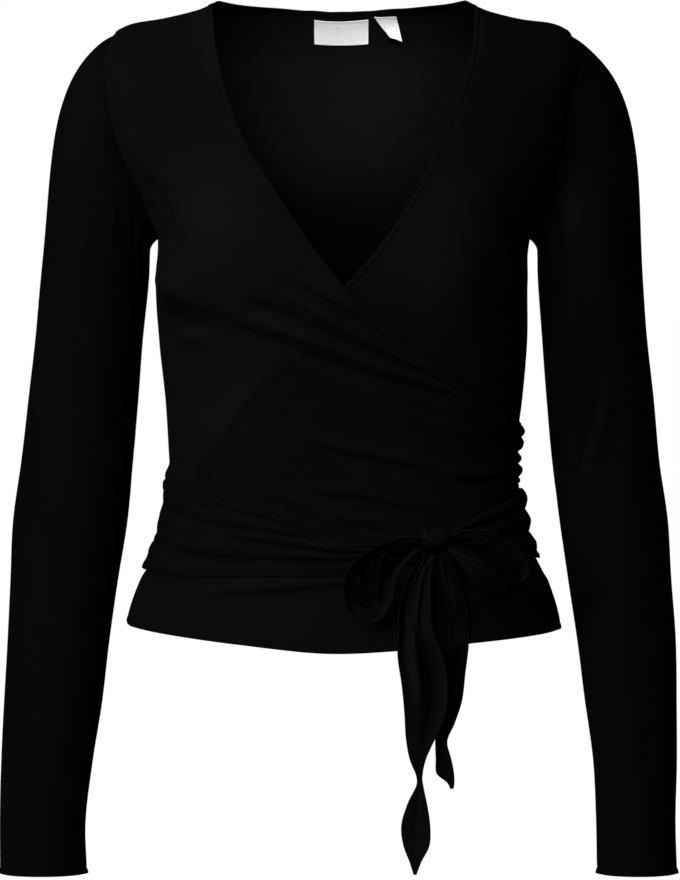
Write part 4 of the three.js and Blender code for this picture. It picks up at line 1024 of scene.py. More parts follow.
# places are (degrees round the arm x ROUND_ARM, height): 0 is the outer side, 63 the front, 126 the inner
SLEEVE_CREASES = {
    -1: [
        ([(84, -112), (88, -130), (93, -156), (98, -190), (101, -224)], 2.6, -2.2, 1.3, 0.15, 0.4),
        ([(92, -118), (97, -140), (102, -166), (107, -196), (110, -226)], 2.4, -2.6, 1.3, 0.15, 0.4),
        ([(88, -116), (93, -140), (98, -172), (103, -206)], 3.0, 1.6, 2.0, 0.15, 0.4),
        ([(101, -128), (107, -150), (113, -178), (116, -206)], 3.2, -3.2, 1.3, 0.1, 0.4),
        ([(76, -128), (80, -152), (86, -184), (90, -214)], 3.4, -1.5, 1.5, 0.3, 0.5),
        ([(118, -196), (110, -226), (98, -262)], 6.0, -1.8, 1.7, 0.3, 0.6),
        ([(122, -280), (104, -306), (84, -326), (70, -334)], 6.0, -1.6, 1.6, 0.3, 0.6),
        ([(124, -318), (104, -336), (80, -348)], 7.0, 1.5, 2.0, 0.3, 0.5),
        ([(126, -346), (106, -366), (82, -380)], 4.5, -1.9, 1.4, 0.2, 0.6),
        ([(124, -374), (100, -388), (78, -392)], 5.0, -1.2, 1.6, 0.2, 0.6),
        ([(118, -440), (98, -462), (74, -478)], 8.0, -1.3, 2.0, 0.3, 0.5),
        ([(30, -500), (44, -540), (52, -590)], 9.0, -1.2, 2.0, 0.4, 0.5),
        ([(98, -540), (88, -576), (80, -612)], 8.0, -1.0, 2.0, 0.4, 0.5),
        ([(196, -130), (188, -164), (182, -204)], 5.0, -2.2, 1.4, 0.1, 0.5),
        ([(206, -136), (200, -170), (196, -204)], 5.0, 1.4, 2.0, 0.1, 0.5),
        ([(170, -330), (190, -352), (212, -366)], 5.5, -1.8, 1.5, 0.3, 0.5),
        ([(160, -372), (184, -388), (206, -394)], 5.0, -1.6, 1.5, 0.3, 0.5),
        ([(166, -350), (186, -370), (208, -380)], 7.0, 1.5, 2.0, 0.3, 0.5),
    ],
    1: [
        ([(104, -122), (108, -148), (112, -180), (112, -214)], 3.2, -2.8, 1.3, 0.1, 0.4),
        ([(94, -126), (97, -154), (99, -184), (98, -216)], 4.6, 2.6, 2.0, 0.2, 0.5),
        ([(86, -136), (88, -166), (89, -204), (86, -238)], 3.6, -1.9, 1.5, 0.2, 0.5),
        ([(76, -190), (79, -226), (78, -262)], 6.0, 1.6, 2.0, 0.3, 0.5),
        ([(54, -282), (62, -306), (72, -330), (84, -356), (96, -378)], 4.6, 2.4, 2.0, 0.3, 0.4),
        ([(62, -280), (70, -304), (80, -328), (92, -354), (104, -374)], 4.0, -2.0, 1.4, 0.3, 0.4),
        ([(46, -290), (53, -314), (62, -338), (74, -364)], 4.6, -1.6, 1.6, 0.4, 0.4),
        ([(124, -396), (108, -412), (88, -420)], 5.0, -1.7, 1.6, 0.3, 0.5),
        ([(126, -360), (110, -380), (96, -392)], 5.0, -1.5, 1.5, 0.2, 0.5),
        ([(36, -520), (50, -556), (60, -596)], 9.0, -1.2, 2.0, 0.4, 0.5),
        ([(88, -476), (80, -514), (76, -556)], 8.0, 1.1, 2.0, 0.4, 0.5),
        ([(200, -132), (190, -164), (186, -206)], 5.0, -2.1, 1.4, 0.1, 0.5),
        ([(162, -336), (186, -354), (210, -362)], 5.5, -1.8, 1.5, 0.3, 0.5),
        ([(168, -366), (190, -384), (214, -390)], 5.0, -1.6, 1.5, 0.3, 0.5),
    ],
}

# %% The sleeves
SLEEVE_ROUND, CAP_ROWS, ARM_ROWS = 108, 54, 112


def arm_ring(side, z, turn):
    """Points of a level ring of the sleeve, at turns measured from its outer side over the front."""
    middle, half = (read(SLEEVE[:, 0], SLEEVE[:, k], z) for k in ((1, 2) if side < 0 else (3, 4)))
    y, depth = (read(SLEEVE[:, 0], SLEEVE[:, k], z) for k in (5, 6))
    angle = np.radians(turn)
    return np.stack([middle + side * half * np.cos(angle), y - depth * np.sin(angle), z + 0 * angle], -1)


# painted light on the sleeves: on the left, lighter cloth at the top and between the creases by the armpit;
# on the right, painted highlights on creases below the armpit and painted shade at the top, on the inner
# side and low on the forearm; centre x and z, half width, half height, amount
SLEEVE_PAINTED_LIGHT = {
    -1: [(-152, -146, 16, 36, 0.8), (-190, -60, 36, 60, 0.35)],
    1: [(168, -160, 8, 14, 1.2), (188, -182, 10, 26, 0.6), (184, -80, 26, 50, -0.6),
        (174, -262, 12, 60, -1.0), (214, -520, 20, 90, -0.3)],
}


def make_sleeve(side, name, solid):
    turn = np.linspace(0, 360, SLEEVE_ROUND, endpoint=False)[None, :]
    low = (1 - np.cos(np.radians(turn[0]))) / 2
    first, last = SLEEVE[0, 0], SLEEVE[-1, 0]
    seam = armhole_point(side, turn[0])
    start = seam - 1.7 * figure_normal(seam) - np.array([1.5 * side, 0, 0])
    end, below = arm_ring(side, first, turn[0]), arm_ring(side, first - 10, turn[0])
    fall = CAP_PULL["fall"] + CAP_PULL["low_fall"] * low
    leave = np.stack([np.full(fall.shape, side), 0 * fall, -fall], -1)
    pull = CAP_PULL[side] * (1 - low) + CAP_PULL["low"] * low
    leave = leave / np.linalg.norm(leave, axis=1, keepdims=True) * pull[:, None]
    reach = np.linalg.norm(end - start, axis=1) * CAP_PULL["arrive"]
    arrive = (below - end) / np.linalg.norm(below - end, axis=1, keepdims=True) * reach[:, None]
    t = np.concatenate([[0, 0.006, 0.014, 0.025, 0.04], np.linspace(0.06, 1, CAP_ROWS - 4)])[:, None, None]
    cap = cubic(t, start, end, leave, arrive)
    levels = last + (first - last) * (1 - graded(ARM_ROWS, first - last, (0,), EDGE_STEPS))[1:, None]
    grid = np.concatenate([cap, arm_ring(side, levels, turn)], 0)
    z = grid[..., 2]
    down = run_lengths(grid, 0)
    to_cuff = down[-1] - down
    along = np.broadcast_to(turn * ROUND_ARM, grid.shape[:2])
    folds = creases(SLEEVE_CREASES[side], along, z)
    angle = np.radians(turn)
    folds = folds + 0.5 * np.sin(2 * angle + z / 46 + side) * np.sin(z / 71)
    height = seam_valley(down) + turned_edge(to_cuff) + shoulder_lift(grid)
    height = height + folds * smoothstep(0, 16, down)
    frill = 0.5 * np.sin(9 * angle + 0.7 * np.sin(4 * angle)) * smoothstep(9, 0, to_cuff)
    height = height + frill + 1.0 * np.exp(-((to_cuff / 1.6) ** 2))
    normal = grid_normals(grid, closed_round=True)
    outward = np.sign(((grid - grid.mean(1, keepdims=True)) * normal).sum(-1).mean())
    lifted = grid + normal * outward * height[..., None]
    cuff = line_at(lifted[::-1], to_cuff[::-1], TURN_WIDTH)
    closed = np.arange(SLEEVE_ROUND + 1) % SLEEVE_ROUND
    keep_stitches(cuff[closed], (grid_normals(lifted, closed_round=True)[-8] * outward)[closed])
    wide = np.concatenate([along, along[:, :1] + 360 * ROUND_ARM], 1)
    lengths = np.concatenate([down, down[:, :1]], 1)
    x, z = lifted[..., 0], lifted[..., 2]
    # painted light and shade: painted fold shading, the patches above, painted shade under the arm next to
    # the armhole seam, and a narrow painted shade along the seam itself
    painted_shading = painted_fold_shading(folds, 0.34) + painted_patches(SLEEVE_PAINTED_LIGHT[side], x, z)
    painted_shading = painted_shading - 1.4 * np.exp(-(((down - 5) / 11) ** 2)) * smoothstep(-84, -112, z)
    painted_shading = painted_shading - 1.1 * np.exp(-(((down - 2) / 3.4) ** 2))
    return cloth(name, solid, lifted, shaded_sleeve_jersey, wide, -lengths, painted_shading, closed_round=True)


sleeve_left = make_sleeve(-1, "sleeve_left_cloth", "sleeve_left")
sleeve_right = make_sleeve(1, "sleeve_right_cloth", "sleeve_right")

# %% [markdown]
# ## The ties on the body
# A tie is a long strip that is gathered as it is pulled tight, so it lies in lengthwise pleats that deepen
# towards the bow. Its edges are set by angle and height, and each pleat is a line along the strip that
# wanders, as it goes round, between 0 at the upper edge and 1 at the lower one.

# %% Ties round the waist
# degrees round the body, upper edge, lower edge, and how far out from the figure the strip lies
TIE_ACROSS_FRONT = np.array([
    (-91, -358, -427, 6.6), (-78, -361, -428, 6.5), (-62, -366, -429, 6.0), (-46, -373, -428, 5.6),
    (-32, -380, -427, 5.6), (-16, -389, -427, 5.6), (2, -396, -426, 5.8), (18, -397, -423, 6.2),
    (33, -397, -416, 7.4),
])
TIE_ROUND_BACK = np.array([
    (83, -318, -360, 3.0), (100, -322, -363, 4.6), (122, -330, -371, 6.0), (150, -339, -380, 5.6),
    (180, -347, -390, 5.6), (210, -353, -402, 5.6), (240, -356, -416, 6.0), (268, -358, -427, 6.6),
])
UNDER_TIE_BACK = np.array([
    (-255, -367, -419, 3.1), (-232, -368, -416, 3.0), (-205, -367, -411, 2.9), (-180, -365, -405, 2.9),
    (-155, -361, -398, 2.9), (-130, -356, -391, 2.9), (-112, -354, -388, 2.7), (-91, -354, -385, 2.3),
    (-84, -355, -386, 1.2), (-77, -358, -388, 0),
])
UNDER_TIE_FRONT = np.array([
    (44.5, -392, -410, 8.6), (52, -385, -411, 5.6), (62, -377, -413, 5.0), (74, -370, -416, 5.0),
    (88, -366, -419, 5.0), (104, -367, -419, 3.0),
])


# the strips' usual width, and where their columns lie closer together at both edges
TIE_WIDTH, TIE_EDGE_STEPS = 45, (0, 0.4, 1.1)


def make_tie(name, solid, rows, pleats, columns, across, start):
    """A strip laid round the figure, with its pleats as creases over (degrees, share across).

    Widths are millimetres. A share across is stretched by the strip's own width at that place."""
    around = np.linspace(rows[0, 0], rows[-1, 0], columns + 1)[:, None]
    top, bottom, layer = (read(rows[:, 0], rows[:, k], around) for k in (1, 2, 3))
    width = top - bottom
    mean = width.mean()
    t = graded(across, TIE_WIDTH, TIE_EDGE_STEPS, TIE_EDGE_STEPS)[None, :]
    grid = around_point(around, top + (bottom - top) * t)
    along, down = np.broadcast_arrays(around * DEGREE, t * mean)
    lines = [([(a * DEGREE, b * mean) for a, b in points], *rest) for points, *rest in pleats]
    folds = creases(lines, along, down) * np.sqrt(np.clip(mean / width, 0.5, 2.2))
    height = layer + folds + waver(along, down, 34, 0.35, start)
    height = height - 0.8 * np.exp(-((t * width / 1.4) ** 2)) - 0.8 * np.exp(-(((1 - t) * width / 1.4) ** 2))
    # painted shade in the pleats' valleys and painted highlights on their crests, over a level 0.15 deeper
    painted_shading = painted_fold_shading(folds, 0.24) - 0.15
    return cloth(name, solid, lift(grid, height), tie_jersey, down, along, painted_shading)


# %% The tie across the front
FRONT_PLEATS = [
    ([(-91, 0.03), (-62, 0.03), (-30, 0.04), (2, 0.05), (33, 0.06)], 1.6, 1.0, 2.0, 0.0, 0.0),
    ([(-91, 0.11), (-66, 0.12), (-40, 0.11), (-14, 0.13), (8, 0.16)], 1.5, -1.0, 1.4, 0.1, 0.3),
    ([(-91, 0.16), (-70, 0.18), (-52, 0.20), (-30, 0.20), (-8, 0.22), (14, 0.22), (33, 0.2)],
     4.0, 1.4, 2.0, 0.0, 0.0),
    ([(-86, 0.24), (-72, 0.28), (-58, 0.32), (-43, 0.33), (-18, 0.24), (3, 0.17)],
     1.7, -2.0, 1.25, 0.1, 0.2),
    ([(-91, 0.38), (-70, 0.40), (-50, 0.43), (-26, 0.36), (0, 0.34), (20, 0.33), (33, 0.34)],
     4.4, 1.7, 2.0, 0.0, 0.0),
    ([(-60, 0.44), (-44, 0.48), (-30, 0.47), (-12, 0.45), (8, 0.45), (33, 0.46)],
     1.6, -1.9, 1.25, 0.25, 0.0),
    ([(-88, 0.44), (-78, 0.50), (-68, 0.54), (-56, 0.56)], 1.7, -1.6, 1.3, 0.2, 0.4),
    ([(-91, 0.58), (-84, 0.64), (-63, 0.72), (-48, 0.74), (-26, 0.72), (3, 0.62), (20, 0.58), (33, 0.58)],
     1.9, -2.8, 1.2, 0.03, 0.0),
    ([(-91, 0.52), (-80, 0.57), (-60, 0.63), (-40, 0.62), (-16, 0.58), (10, 0.52), (33, 0.5)],
     3.8, 1.7, 2.0, 0.0, 0.0),
    ([(-91, 0.78), (-70, 0.84), (-46, 0.86), (-20, 0.84), (4, 0.80), (33, 0.76)], 4.4, 2.5, 2.0, 0.0, 0.0),
    ([(-91, 0.86), (-78, 0.91), (-64, 0.95)], 1.6, -1.8, 1.3, 0.1, 0.4),
    ([(-18, 0.52), (-4, 0.54), (12, 0.58), (26, 0.66)], 1.5, -1.4, 1.3, 0.3, 0.2),
    ([(-24, 0.64), (-6, 0.66), (12, 0.70), (33, 0.70)], 1.6, -1.6, 1.3, 0.3, 0.0),
    ([(2, 0.30), (18, 0.28), (33, 0.27)], 1.7, -1.7, 1.3, 0.3, 0.0),
    ([(8, 0.84), (22, 0.84), (33, 0.84)], 1.6, -1.5, 1.3, 0.3, 0.0),
]
tie_across_front = make_tie(
    "tie_across_front_cloth", "tie_across_front", TIE_ACROSS_FRONT, FRONT_PLEATS, 300, 84, start=22)

# %% The ties round the back and the under tie's front end
BACK_PLEATS = [
    ([(83, 0.07), (100, 0.08), (130, 0.10), (180, 0.12), (268, 0.10)], 3.2, 1.8, 2.0, 0.0, 0.0),
    ([(83, 0.19), (98, 0.20), (124, 0.24), (150, 0.28)], 1.9, -2.1, 1.25, 0.0, 0.4),
    ([(83, 0.31), (104, 0.33), (140, 0.38), (176, 0.34), (214, 0.28), (268, 0.24)],
     3.0, 2.0, 2.0, 0.0, 0.05),
    ([(83, 0.43), (104, 0.45), (140, 0.50), (176, 0.46), (220, 0.38), (268, 0.34)],
     1.9, -2.3, 1.25, 0.0, 0.0),
    ([(83, 0.55), (120, 0.58), (160, 0.62), (220, 0.50), (268, 0.44)], 3.2, 2.0, 2.0, 0.0, 0.0),
    ([(83, 0.67), (112, 0.70), (150, 0.74), (200, 0.68), (240, 0.60), (268, 0.56)],
     1.9, -2.2, 1.25, 0.0, 0.0),
    ([(83, 0.79), (120, 0.80), (160, 0.84), (220, 0.74), (268, 0.68)], 3.2, 2.0, 2.0, 0.0, 0.0),
    ([(83, 0.90), (112, 0.90), (150, 0.93), (176, 0.92)], 1.6, -1.6, 1.3, 0.0, 0.3),
    ([(196, 0.86), (226, 0.82), (268, 0.80)], 2.0, -1.9, 1.3, 0.3, 0.0),
    ([(206, 0.20), (236, 0.18), (268, 0.17)], 1.8, -1.5, 1.3, 0.4, 0.0),
]
UNDER_BACK_PLEATS = [
    ([(-255, 0.3), (-200, 0.34), (-140, 0.3), (-91, 0.34)], 2.3, -1.1, 1.3, 0.0, 0.1),
    ([(-255, 0.5), (-190, 0.52), (-130, 0.5), (-91, 0.52)], 4.2, 0.9, 2.0, 0.0, 0.1),
    ([(-255, 0.72), (-200, 0.68), (-150, 0.74), (-91, 0.7)], 2.3, -1.1, 1.3, 0.0, 0.1),
    ([(-255, 0.88), (-200, 0.86), (-150, 0.9), (-91, 0.88)], 3.8, 0.9, 2.0, 0.0, 0.1),
]
UNDER_FRONT_PLEATS = [
    ([(44.5, 0.2), (60, 0.14), (80, 0.12), (104, 0.14)], 3.6, 1.8, 2.0, 0.0, 0.1),
    ([(44.5, 0.36), (58, 0.3), (74, 0.27), (104, 0.3)], 2.0, -1.8, 1.3, 0.0, 0.1),
    ([(44.5, 0.52), (62, 0.46), (84, 0.44), (104, 0.46)], 3.8, 1.9, 2.0, 0.0, 0.1),
    ([(44.5, 0.66), (58, 0.62), (76, 0.6), (104, 0.6)], 2.0, -1.9, 1.3, 0.0, 0.1),
    ([(52, 0.74), (66, 0.76), (84, 0.78), (104, 0.78)], 4.0, 1.8, 2.0, 0.0, 0.1),
    ([(60, 0.9), (76, 0.9), (104, 0.9)], 2.0, -1.2, 1.3, 0.2, 0.1),
]
tie_round_back = make_tie(
    "tie_round_back_cloth", "tie_round_back", TIE_ROUND_BACK, BACK_PLEATS, 280, 50, start=20)
under_tie_back = make_tie(
    "under_tie_back_cloth", "under_tie_back", UNDER_TIE_BACK, UNDER_BACK_PLEATS, 200, 36, start=20)
under_tie_front = make_tie(
    "under_tie_front_cloth", "under_tie_front", UNDER_TIE_FRONT, UNDER_FRONT_PLEATS, 110, 56, start=21)

# %% [markdown]
# ## The bow
# The ties end in a bow: a small knot, two loops and two hanging tails. A loop or tail is a ribbon between
# two edge lines in the open, its middle pushed out, with pleats along it that are deepest at the knot.

# %% Ribbons between two edge lines
def facing_sign(grid):
    """1 where the grid's own outside faces the front, else -1, as one value for the whole ribbon."""
    return -np.sign(grid_normals(grid)[..., 1].mean())


def make_ribbon(name, solid, rows, pleats, along, across, ripple, start, painted_level=0.25):
    """Cloth from a near edge to a far edge, with creases in shares of its length x 100 and width x 30."""
    rows = np.array(rows, float)
    near, far = path(rows[:, :3]), path(rows[:, 3:6])
    s, t = np.linspace(0, 1, along + 1), np.linspace(0, 1, across + 1)
    grid = near(s)[:, None] * (1 - t[:, None]) + far(s)[:, None] * t[:, None]
    push = read(np.linspace(0, 1, len(rows)), rows[:, 6], s)[:, None] * np.sin(np.pi * t)
    a, b = np.broadcast_arrays(s[:, None] * 100, t * 30)
    folds = creases(pleats, a, b)
    push = push + folds + waver(a * 1.3, b * 1.6, 30, ripple, start) * smoothstep(0, 8, a)
    grid = grid + grid_normals(grid) * push[..., None]
    # painted fold shading, turned to the ribbon's front, over painted_level: how much lighter or deeper the
    # whole ribbon is painted for the light it gets
    painted_shading = painted_fold_shading(folds * facing_sign(grid), 0.26) + painted_level
    across, down = run_lengths(grid, 1), run_lengths(grid, 0)
    return cloth(name, solid, grid, tie_jersey, across, down, painted_shading)


# %% The two loops
# near edge, far edge, and how far the middle is pushed out
LEFT_LOOP = [
    (58.1, -101, -397.2, 56.8, -93.5, -400, 0), (40.8, -112, -397.1, 43.9, -101, -404, 1),
    (21.3, -121, -404.4, 33, -102.5, -414.5, 2.5), (7.7, -124, -413.9, 28.5, -102, -425, 3),
    (1.4, -124, -424.6, 27, -101.5, -433, 3.5), (0.9, -123, -437.3, 26.5, -101.5, -440, 3.5),
    (4.8, -122, -448.1, 27, -102, -445, 3), (13.5, -121, -455.9, 28.5, -103, -447, 2),
    (22.3, -120, -458.9, 31, -103, -446, 1.5), (30.1, -120, -452.1, 34, -103, -440, 1),
    (35.9, -119, -441.5, 36.5, -103, -432, 0.5), (38.8, -118, -428.9, 40, -102.5, -423, 0),
    (45.7, -112, -416.6, 46.8, -103, -414.2, 0), (58.8, -102, -405.4, 58.1, -96.5, -404.8, 0),
]
RIGHT_LOOP = [
    (77.2, -100.5, -396.7, 78.5, -94, -397.6, 0), (91.4, -110, -391.4, 91.8, -93, -395.2, 1),
    (103.9, -116, -390.6, 103.7, -88, -400.3, 2), (115.6, -115, -395, 114.6, -84, -407.4, 2.5),
    (127.4, -111, -403, 125.5, -80, -415.5, 2.5), (135.8, -107, -412, 132.5, -77, -423.5, 2.5),
    (137.4, -104, -420, 133.5, -77, -432.4, 2), (132.5, -104, -427.8, 127.5, -79, -439.1, 2),
    (120.7, -108, -428.5, 115.6, -85, -441.7, 2.5), (109.9, -112, -421, 102.6, -93, -438.3, 3),
    (101.1, -114, -412.6, 93.7, -99, -429.1, 2), (91.4, -111, -405.9, 87.8, -99, -418.3, 1),
    (77.2, -102, -403, 78.1, -96, -404.8, 0),
]
LEFT_LOOP_PLEATS = [
    ([(2, 8), (14, 9), (28, 10)], 2.2, -2.6, 1.4, 0.0, 0.5),
    ([(4, 15), (18, 15), (30, 16)], 2.6, 2.4, 2.0, 0.1, 0.4),
    ([(4, 21), (16, 20), (26, 22), (33, 27)], 1.9, -3.2, 1.3, 0.0, 0.2),
    ([(24, 14), (31, 20), (35, 28)], 2.2, -3.0, 1.4, 0.2, 0.1),
    ([(30, 12), (36, 19), (40, 28)], 2.4, 3.4, 1.8, 0.2, 0.0),
    ([(36, 11), (43, 18), (45, 27)], 1.8, -3.4, 1.3, 0.2, 0.0),
    ([(44, 10), (50, 17), (51, 28)], 2.6, 3.2, 1.8, 0.3, 0.0),
    ([(50, 8), (56, 16), (60, 26)], 1.8, -3.0, 1.3, 0.2, 0.1),
    ([(60, 6), (64, 14), (72, 24)], 2.2, 2.4, 1.8, 0.2, 0.2),
    ([(58, 8), (70, 12), (82, 16), (98, 15)], 1.9, -2.6, 1.3, 0.3, 0.0),
    ([(64, 18), (76, 22), (88, 22), (98, 20)], 2.0, -2.4, 1.3, 0.3, 0.0),
    ([(62, 13), (76, 17), (90, 18)], 2.2, 2.2, 2.0, 0.3, 0.2),
]
RIGHT_LOOP_PLEATS = [
    ([(2, 9), (16, 9), (30, 10), (42, 11)], 2.0, -2.4, 1.3, 0.0, 0.4),
    ([(4, 20), (20, 19), (32, 20), (44, 22)], 2.2, -2.8, 1.3, 0.0, 0.3),
    ([(8, 15), (24, 15), (38, 17), (50, 17)], 2.6, 2.4, 2.0, 0.1, 0.4),
    ([(22, 24), (30, 26), (36, 23), (42, 27), (48, 25)], 1.6, 2.6, 1.6, 0.2, 0.2),
    ([(24, 4), (33, 12), (38, 21)], 2.2, -2.4, 1.4, 0.2, 0.2),
    ([(37, 6), (43, 15), (47, 23)], 2.6, 2.4, 1.8, 0.2, 0.2),
    ([(66, 8), (78, 11), (90, 13), (99, 14)], 2.0, -2.2, 1.3, 0.4, 0.0),
    ([(70, 23), (82, 22), (98, 21)], 2.2, -2.0, 1.4, 0.4, 0.0),
    ([(62, 17), (78, 17), (94, 18)], 3.0, 2.0, 2.0, 0.3, 0.1),
]
loop_left = make_ribbon("loop_left_cloth", "loop_left", LEFT_LOOP, LEFT_LOOP_PLEATS, 200, 46, 1.2, 0.4)
loop_right = make_ribbon("loop_right_cloth", "loop_right", RIGHT_LOOP, RIGHT_LOOP_PLEATS, 200, 46, 1.0, 1.9)

# %% The two tails
# near edge, far edge, and how far the middle is pushed out
LEFT_TAIL = [
    (60.4, -101, -406.5, 68.3, -98, -410.5, 1.5), (49.6, -109, -423.6, 65.3, -104, -422.9, 4),
    (42.8, -113, -440.9, 65.2, -108, -440.2, 5), (40.8, -113, -462.3, 66.2, -110, -462.5, 6),
    (40.8, -113, -483.8, 74, -111, -483.9, 7), (43.8, -113, -505.2, 77, -111, -505.4, 7),
    (45.7, -113, -525.7, 75.5, -111, -525.9, 6), (46.7, -113, -543.3, 68, -111, -543.5, 5),
    (49.6, -113, -558.9, 61.3, -111, -559.1, 3), (54.5, -113, -569.6, 58.9, -110, -569.9, 1),
    (54.5, -111, -576.7, 58.9, -113, -576.5, 0.5), (47.7, -110, -591.4, 61.8, -114, -591, 1.5),
    (43.3, -110, -607.1, 64.2, -114, -606.7, 2.5), (44.8, -110, -621.8, 63.8, -114, -621.3, 2.5),
    (49.7, -111, -634.4, 57.5, -113, -634.1, 1), (52.6, -112, -643.1, 54.2, -112, -643.1, 0),
]
RIGHT_TAIL = [
    (68.8, -96.6, -410.9, 76.4, -94.6, -407.3, 0.5), (65.3, -98, -426, 85, -93, -426.3, 1.5),
    (64.3, -98, -443.5, 90.3, -93, -443.8, 2), (66.3, -98, -461.1, 93.3, -92, -461.4, 2.5),
    (67.3, -98, -478.7, 92.8, -92, -479, 2.5), (67.3, -98, -498.1, 90.4, -92, -498.5, 2.5),
    (67.3, -98.5, -517.6, 87.9, -94, -517.9, 2.5), (67.3, -99.5, -533.2, 82.5, -96, -533.4, 2),
    (68.2, -102, -545.8, 77.1, -100, -546.1, 1.5), (68.7, -104, -558.5, 80, -102, -558.8, 1.5),
    (69.2, -107, -569.3, 82, -104, -569.5, 1.5), (77, -106, -576.2, 82, -104.5, -576.3, 0.5),
    (79.6, -105.5, -580.7, 81.2, -105, -580.7, 0),
]
LEFT_TAIL_PLEATS = [
    ([(1, 23), (8, 23), (16, 23)], 2.2, -1.8, 1.4, 0.0, 0.5),
    ([(1, 10), (8, 9), (15, 8)], 2.4, -1.6, 1.4, 0.0, 0.6),
    ([(3, 17), (12, 18), (20, 17), (26, 15)], 1.7, -4.2, 1.3, 0.1, 0.3),
    ([(18, 14), (28, 12), (38, 11.5), (50, 11.5)], 4.4, -7.0, 1.7, 0.3, 0.25),
    ([(2, 5), (12, 6), (26, 5), (42, 4)], 3.2, 2.0, 2.0, 0.1, 0.4),
    ([(24, 22), (32, 21.5), (42, 21), (52, 21), (62, 20)], 4.6, 4.6, 2.0, 0.3, 0.25),
    ([(30, 29), (44, 29), (58, 28)], 2.6, -2.0, 1.8, 0.3, 0.3),
    ([(72, 12), (82, 14), (94, 15)], 3.0, 1.2, 1.8, 0.2, 0.3),
    ([(71, 22), (78, 22), (86, 23)], 2.2, -1.2, 1.5, 0.2, 0.4),
]
RIGHT_TAIL_PLEATS = [
    ([(1, 14), (10, 16), (22, 18)], 2.2, -2.2, 1.4, 0.0, 0.3),
    ([(8, 22), (20, 22), (30, 20)], 3.6, -2.2, 2.0, 0.3, 0.4),
    ([(14, 9), (24, 8), (36, 9)], 2.4, 2.4, 1.8, 0.3, 0.4),
    ([(20, 14), (36, 15), (52, 15), (68, 16)], 2.4, -2.6, 1.5, 0.3, 0.3),
    ([(28, 23), (44, 23), (60, 22)], 3.4, 1.8, 2.0, 0.3, 0.3),
    ([(76, 12), (86, 15), (96, 18)], 2.6, 1.0, 1.7, 0.3, 0.2),
]
# the left tail is painted lighter where light falls on its wide panel; the right tail, turned away and in
# the left tail's shadow, is painted deeper
tail_left = make_ribbon(
    "tail_left_cloth", "tail_left", LEFT_TAIL, LEFT_TAIL_PLEATS, 230, 34, 0.6, 0.9, painted_level=0.5)
tail_right = make_ribbon(
    "tail_right_cloth", "tail_right", RIGHT_TAIL, RIGHT_TAIL_PLEATS, 190, 34, 0.6, 2.6, painted_level=-0.6)

# %% [markdown]
# ## The knot
# The knot is the under tie wrapped once round everything else and pulled tight: a small rounded lump whose
# surface lies in slanting pleats. It starts as a ball of the right size, and each of its points is
# then moved in or out along the pleats.

# %% The knot
KNOT_CENTRE = np.array([67.9, -94, -397.6])
KNOT_HALVES = np.array([12.0, 9.4, 8.2])
# where a wrap's edge lies on the knot, how wide the groove beside it is, and how deep
KNOT_WRAPS = ((0.16, 0.12, 1.9), (-0.52, 0.15, 1.3))
# the size of the knot's cloth on its UV map, in metres
KNOT_CLOTH = (0.062, 0.034)

bpy.ops.object.select_all(action="DESELECT")
bpy.ops.mesh.primitive_uv_sphere_add(segments=112, ring_count=64, radius=1, location=(0, 0, 0))
knot = bpy.context.object
knot.name = "bow_knot_cloth"
ball = np.array([v.co for v in knot.data.vertices])
bx, by, bz = ball.T
wrap = bx * 0.78 + bz * 0.5 + 0.16 * np.sin(3 * bz + 1.0)
folds = sum(-depth * np.exp(-np.abs((wrap - place) / width) ** 1.4) for place, width, depth in KNOT_WRAPS)
folds = folds + 0.7 * np.sin(2.3 * bx + 1.1) * np.cos(2.9 * bz - 0.4)
folds = folds + 0.3 * np.sin(4.1 * bx - 3.7 * bz + 2.0 * by)
rounded = np.sign(ball) * np.abs(ball) ** np.array([0.82, 1.0, 0.82])
shaped = KNOT_CENTRE + rounded * (KNOT_HALVES + folds[:, None])
knot.data.vertices.foreach_set("co", (shaped / 1000).astype(np.float32).ravel())
# painted fold shading in the pleats, over a painted lift of 0.8 for the light that falls on the knot
store_painted_shading(knot, painted_fold_shading(folds, 0.4) + 0.8)
knot.data.update()
knot.data.uv_layers[0].name = "cloth"
spread = knot.data.uv_layers["cloth"]
corners = np.zeros(len(spread.data) * 2, np.float32)
spread.data.foreach_get("uv", corners)
spread.data.foreach_set("uv", corners * np.tile(KNOT_CLOTH, len(spread.data)).astype(np.float32))
finish_piece(knot, tie_jersey, "bow_knot")
print("knot:", [round(d * 1000, 1) for d in knot.dimensions], "mm")

# %% [markdown]
# ## The label and the care tag
# A folded white ribbon hangs from the back neck edge inside, and beside it a smaller tag that curls at its
# free end. Both are left bare.

# %% The label and the tag as folded sheets
# left, right, top, bottom, how far off the back, how much it curls, leans and narrows
LABEL = (-21, 20, -10.6, -28.4, 1.4, 0.0, 0.0, 0.0)
TAG = (24.5, 41, -8.6, -22.2, 1.2, 6.0, 4.6, 7.5)
BACK_WALL = 1.2


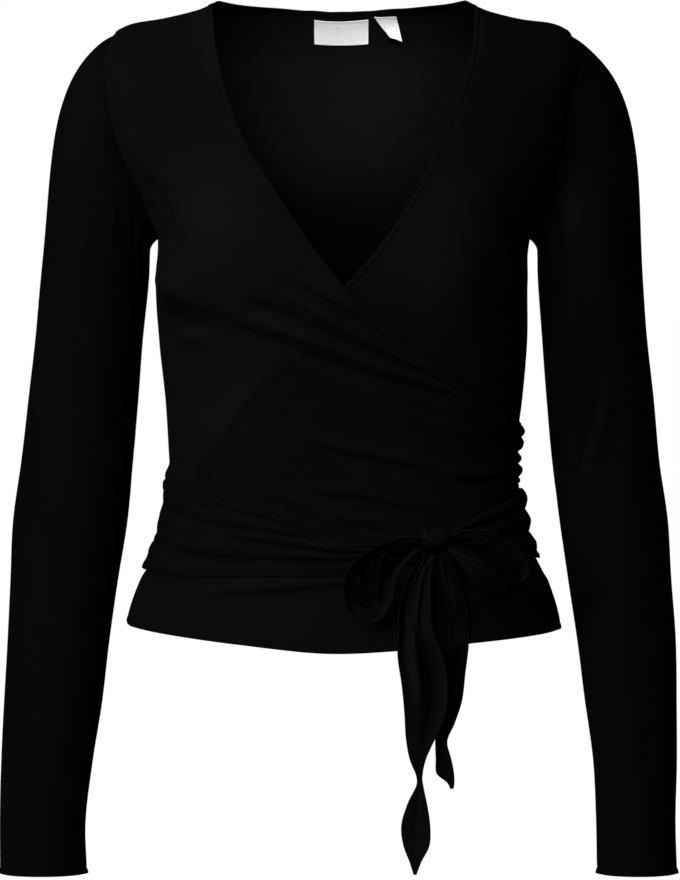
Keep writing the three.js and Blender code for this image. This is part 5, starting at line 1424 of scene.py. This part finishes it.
def make_label(name, solid, sizes, columns, rows, wall):
    left, right, top, bottom, stand_off, curl, lean, narrow = sizes
    u, v = np.meshgrid(np.linspace(0, 1, columns + 1), np.linspace(0, 1, rows + 1))
    x = left + (right - left) * u + lean * v + narrow * (1 - u) * v**1.3
    shorter = 0.12 * (1 - u) if narrow else 0
    sag = 0 if narrow else 1.2 * (1 - (2 * u - 1) ** 2)
    z = top + (bottom - top) * v * (1 - shorter) - sag
    spot = facing_point(x, z, 1)
    inward = figure_normal(spot)
    swell = 0.5 * np.sin(math.pi * u) * np.sin(math.pi * v) + 0.25 * np.sin(5 * u + 2 * v)
    hemmed = 0.15 * np.exp(-(((v - 0.1) / 0.03) ** 2))
    off = (BACK_WALL + wall) / 2 + stand_off + curl * v**2 * (0.8 + 0.4 * u) + swell - hemmed
    grid = spot - inward * off[..., None]
    return cloth(name, solid, grid, white_ribbon, x, z, thickness=wall * 0.7)


neck_label = make_label("neck_label_ribbon", "neck_label", LABEL, 60, 28, wall=0.6)
care_tag = make_label("care_tag_ribbon", "care_tag", TAG, 32, 26, wall=0.5)

# %% [markdown]
# ## Stitches
# The turned edges are sewn down with black thread. Each stitch is a short, thin, slightly bent
# cylinder lying in its groove. They all share one mesh per panel group, placed along the lines that the
# panels kept.

# %% Rows of stitches
# the length of a stitch, the distance from one to the next, and the thread's radius
STITCH, PITCH, THREAD = 2.1, 3.0, 0.17
# the lines round the neck and the hem come first, the cuffs' lines after them
BODY_LINES = 5


def sew(name, lines, material):
    """Puts a stitch at every pitch along each line, lying along it and a little proud of the cloth."""
    verts, faces = [], []
    around = np.radians(np.arange(0, 360, 60))
    for line, outward, first, last in lines:
        count = int(line.length * (last - first) / PITCH)
        for k in range(count):
            middle = first + (last - first) * (k + 0.5) / count
            half = STITCH / 2 / line.length
            a, b = line(middle - half), line(middle + half)
            up = outward(middle)
            forward = (b - a) / max(np.linalg.norm(b - a), 1e-6)
            across = np.cross(forward, up)
            across, up = across / np.linalg.norm(across), np.cross(across, forward)
            ring = np.cos(around)[:, None] * across * THREAD + np.sin(around)[:, None] * up * THREAD
            rows = [a + ring * 0.5 - up * 0.1, a * 0.7 + b * 0.3 + ring + up * 0.08,
                    a * 0.3 + b * 0.7 + ring + up * 0.08, b + ring * 0.5 - up * 0.1]
            start = len(verts)
            verts.extend(np.concatenate(rows))
            for row in range(3):
                for i in range(6):
                    n = (i + 1) % 6
                    low = start + row * 6
                    faces.append((low + i, low + 6 + i, low + 6 + n, low + n))
            faces.append(tuple(start + i for i in range(6)))
            faces.append(tuple(start + 18 + i for i in range(5, -1, -1)))
    finish_piece(new_piece(name, verts, faces), material, None)
    print(f"{name}: {len(faces)} faces")


thread = jersey("black_thread", 0.004, 0.007, loops=0.0)
sew("body_stitches", STITCH_LINES[:BODY_LINES], thread)
sew("cuff_stitches", STITCH_LINES[BODY_LINES:], thread)
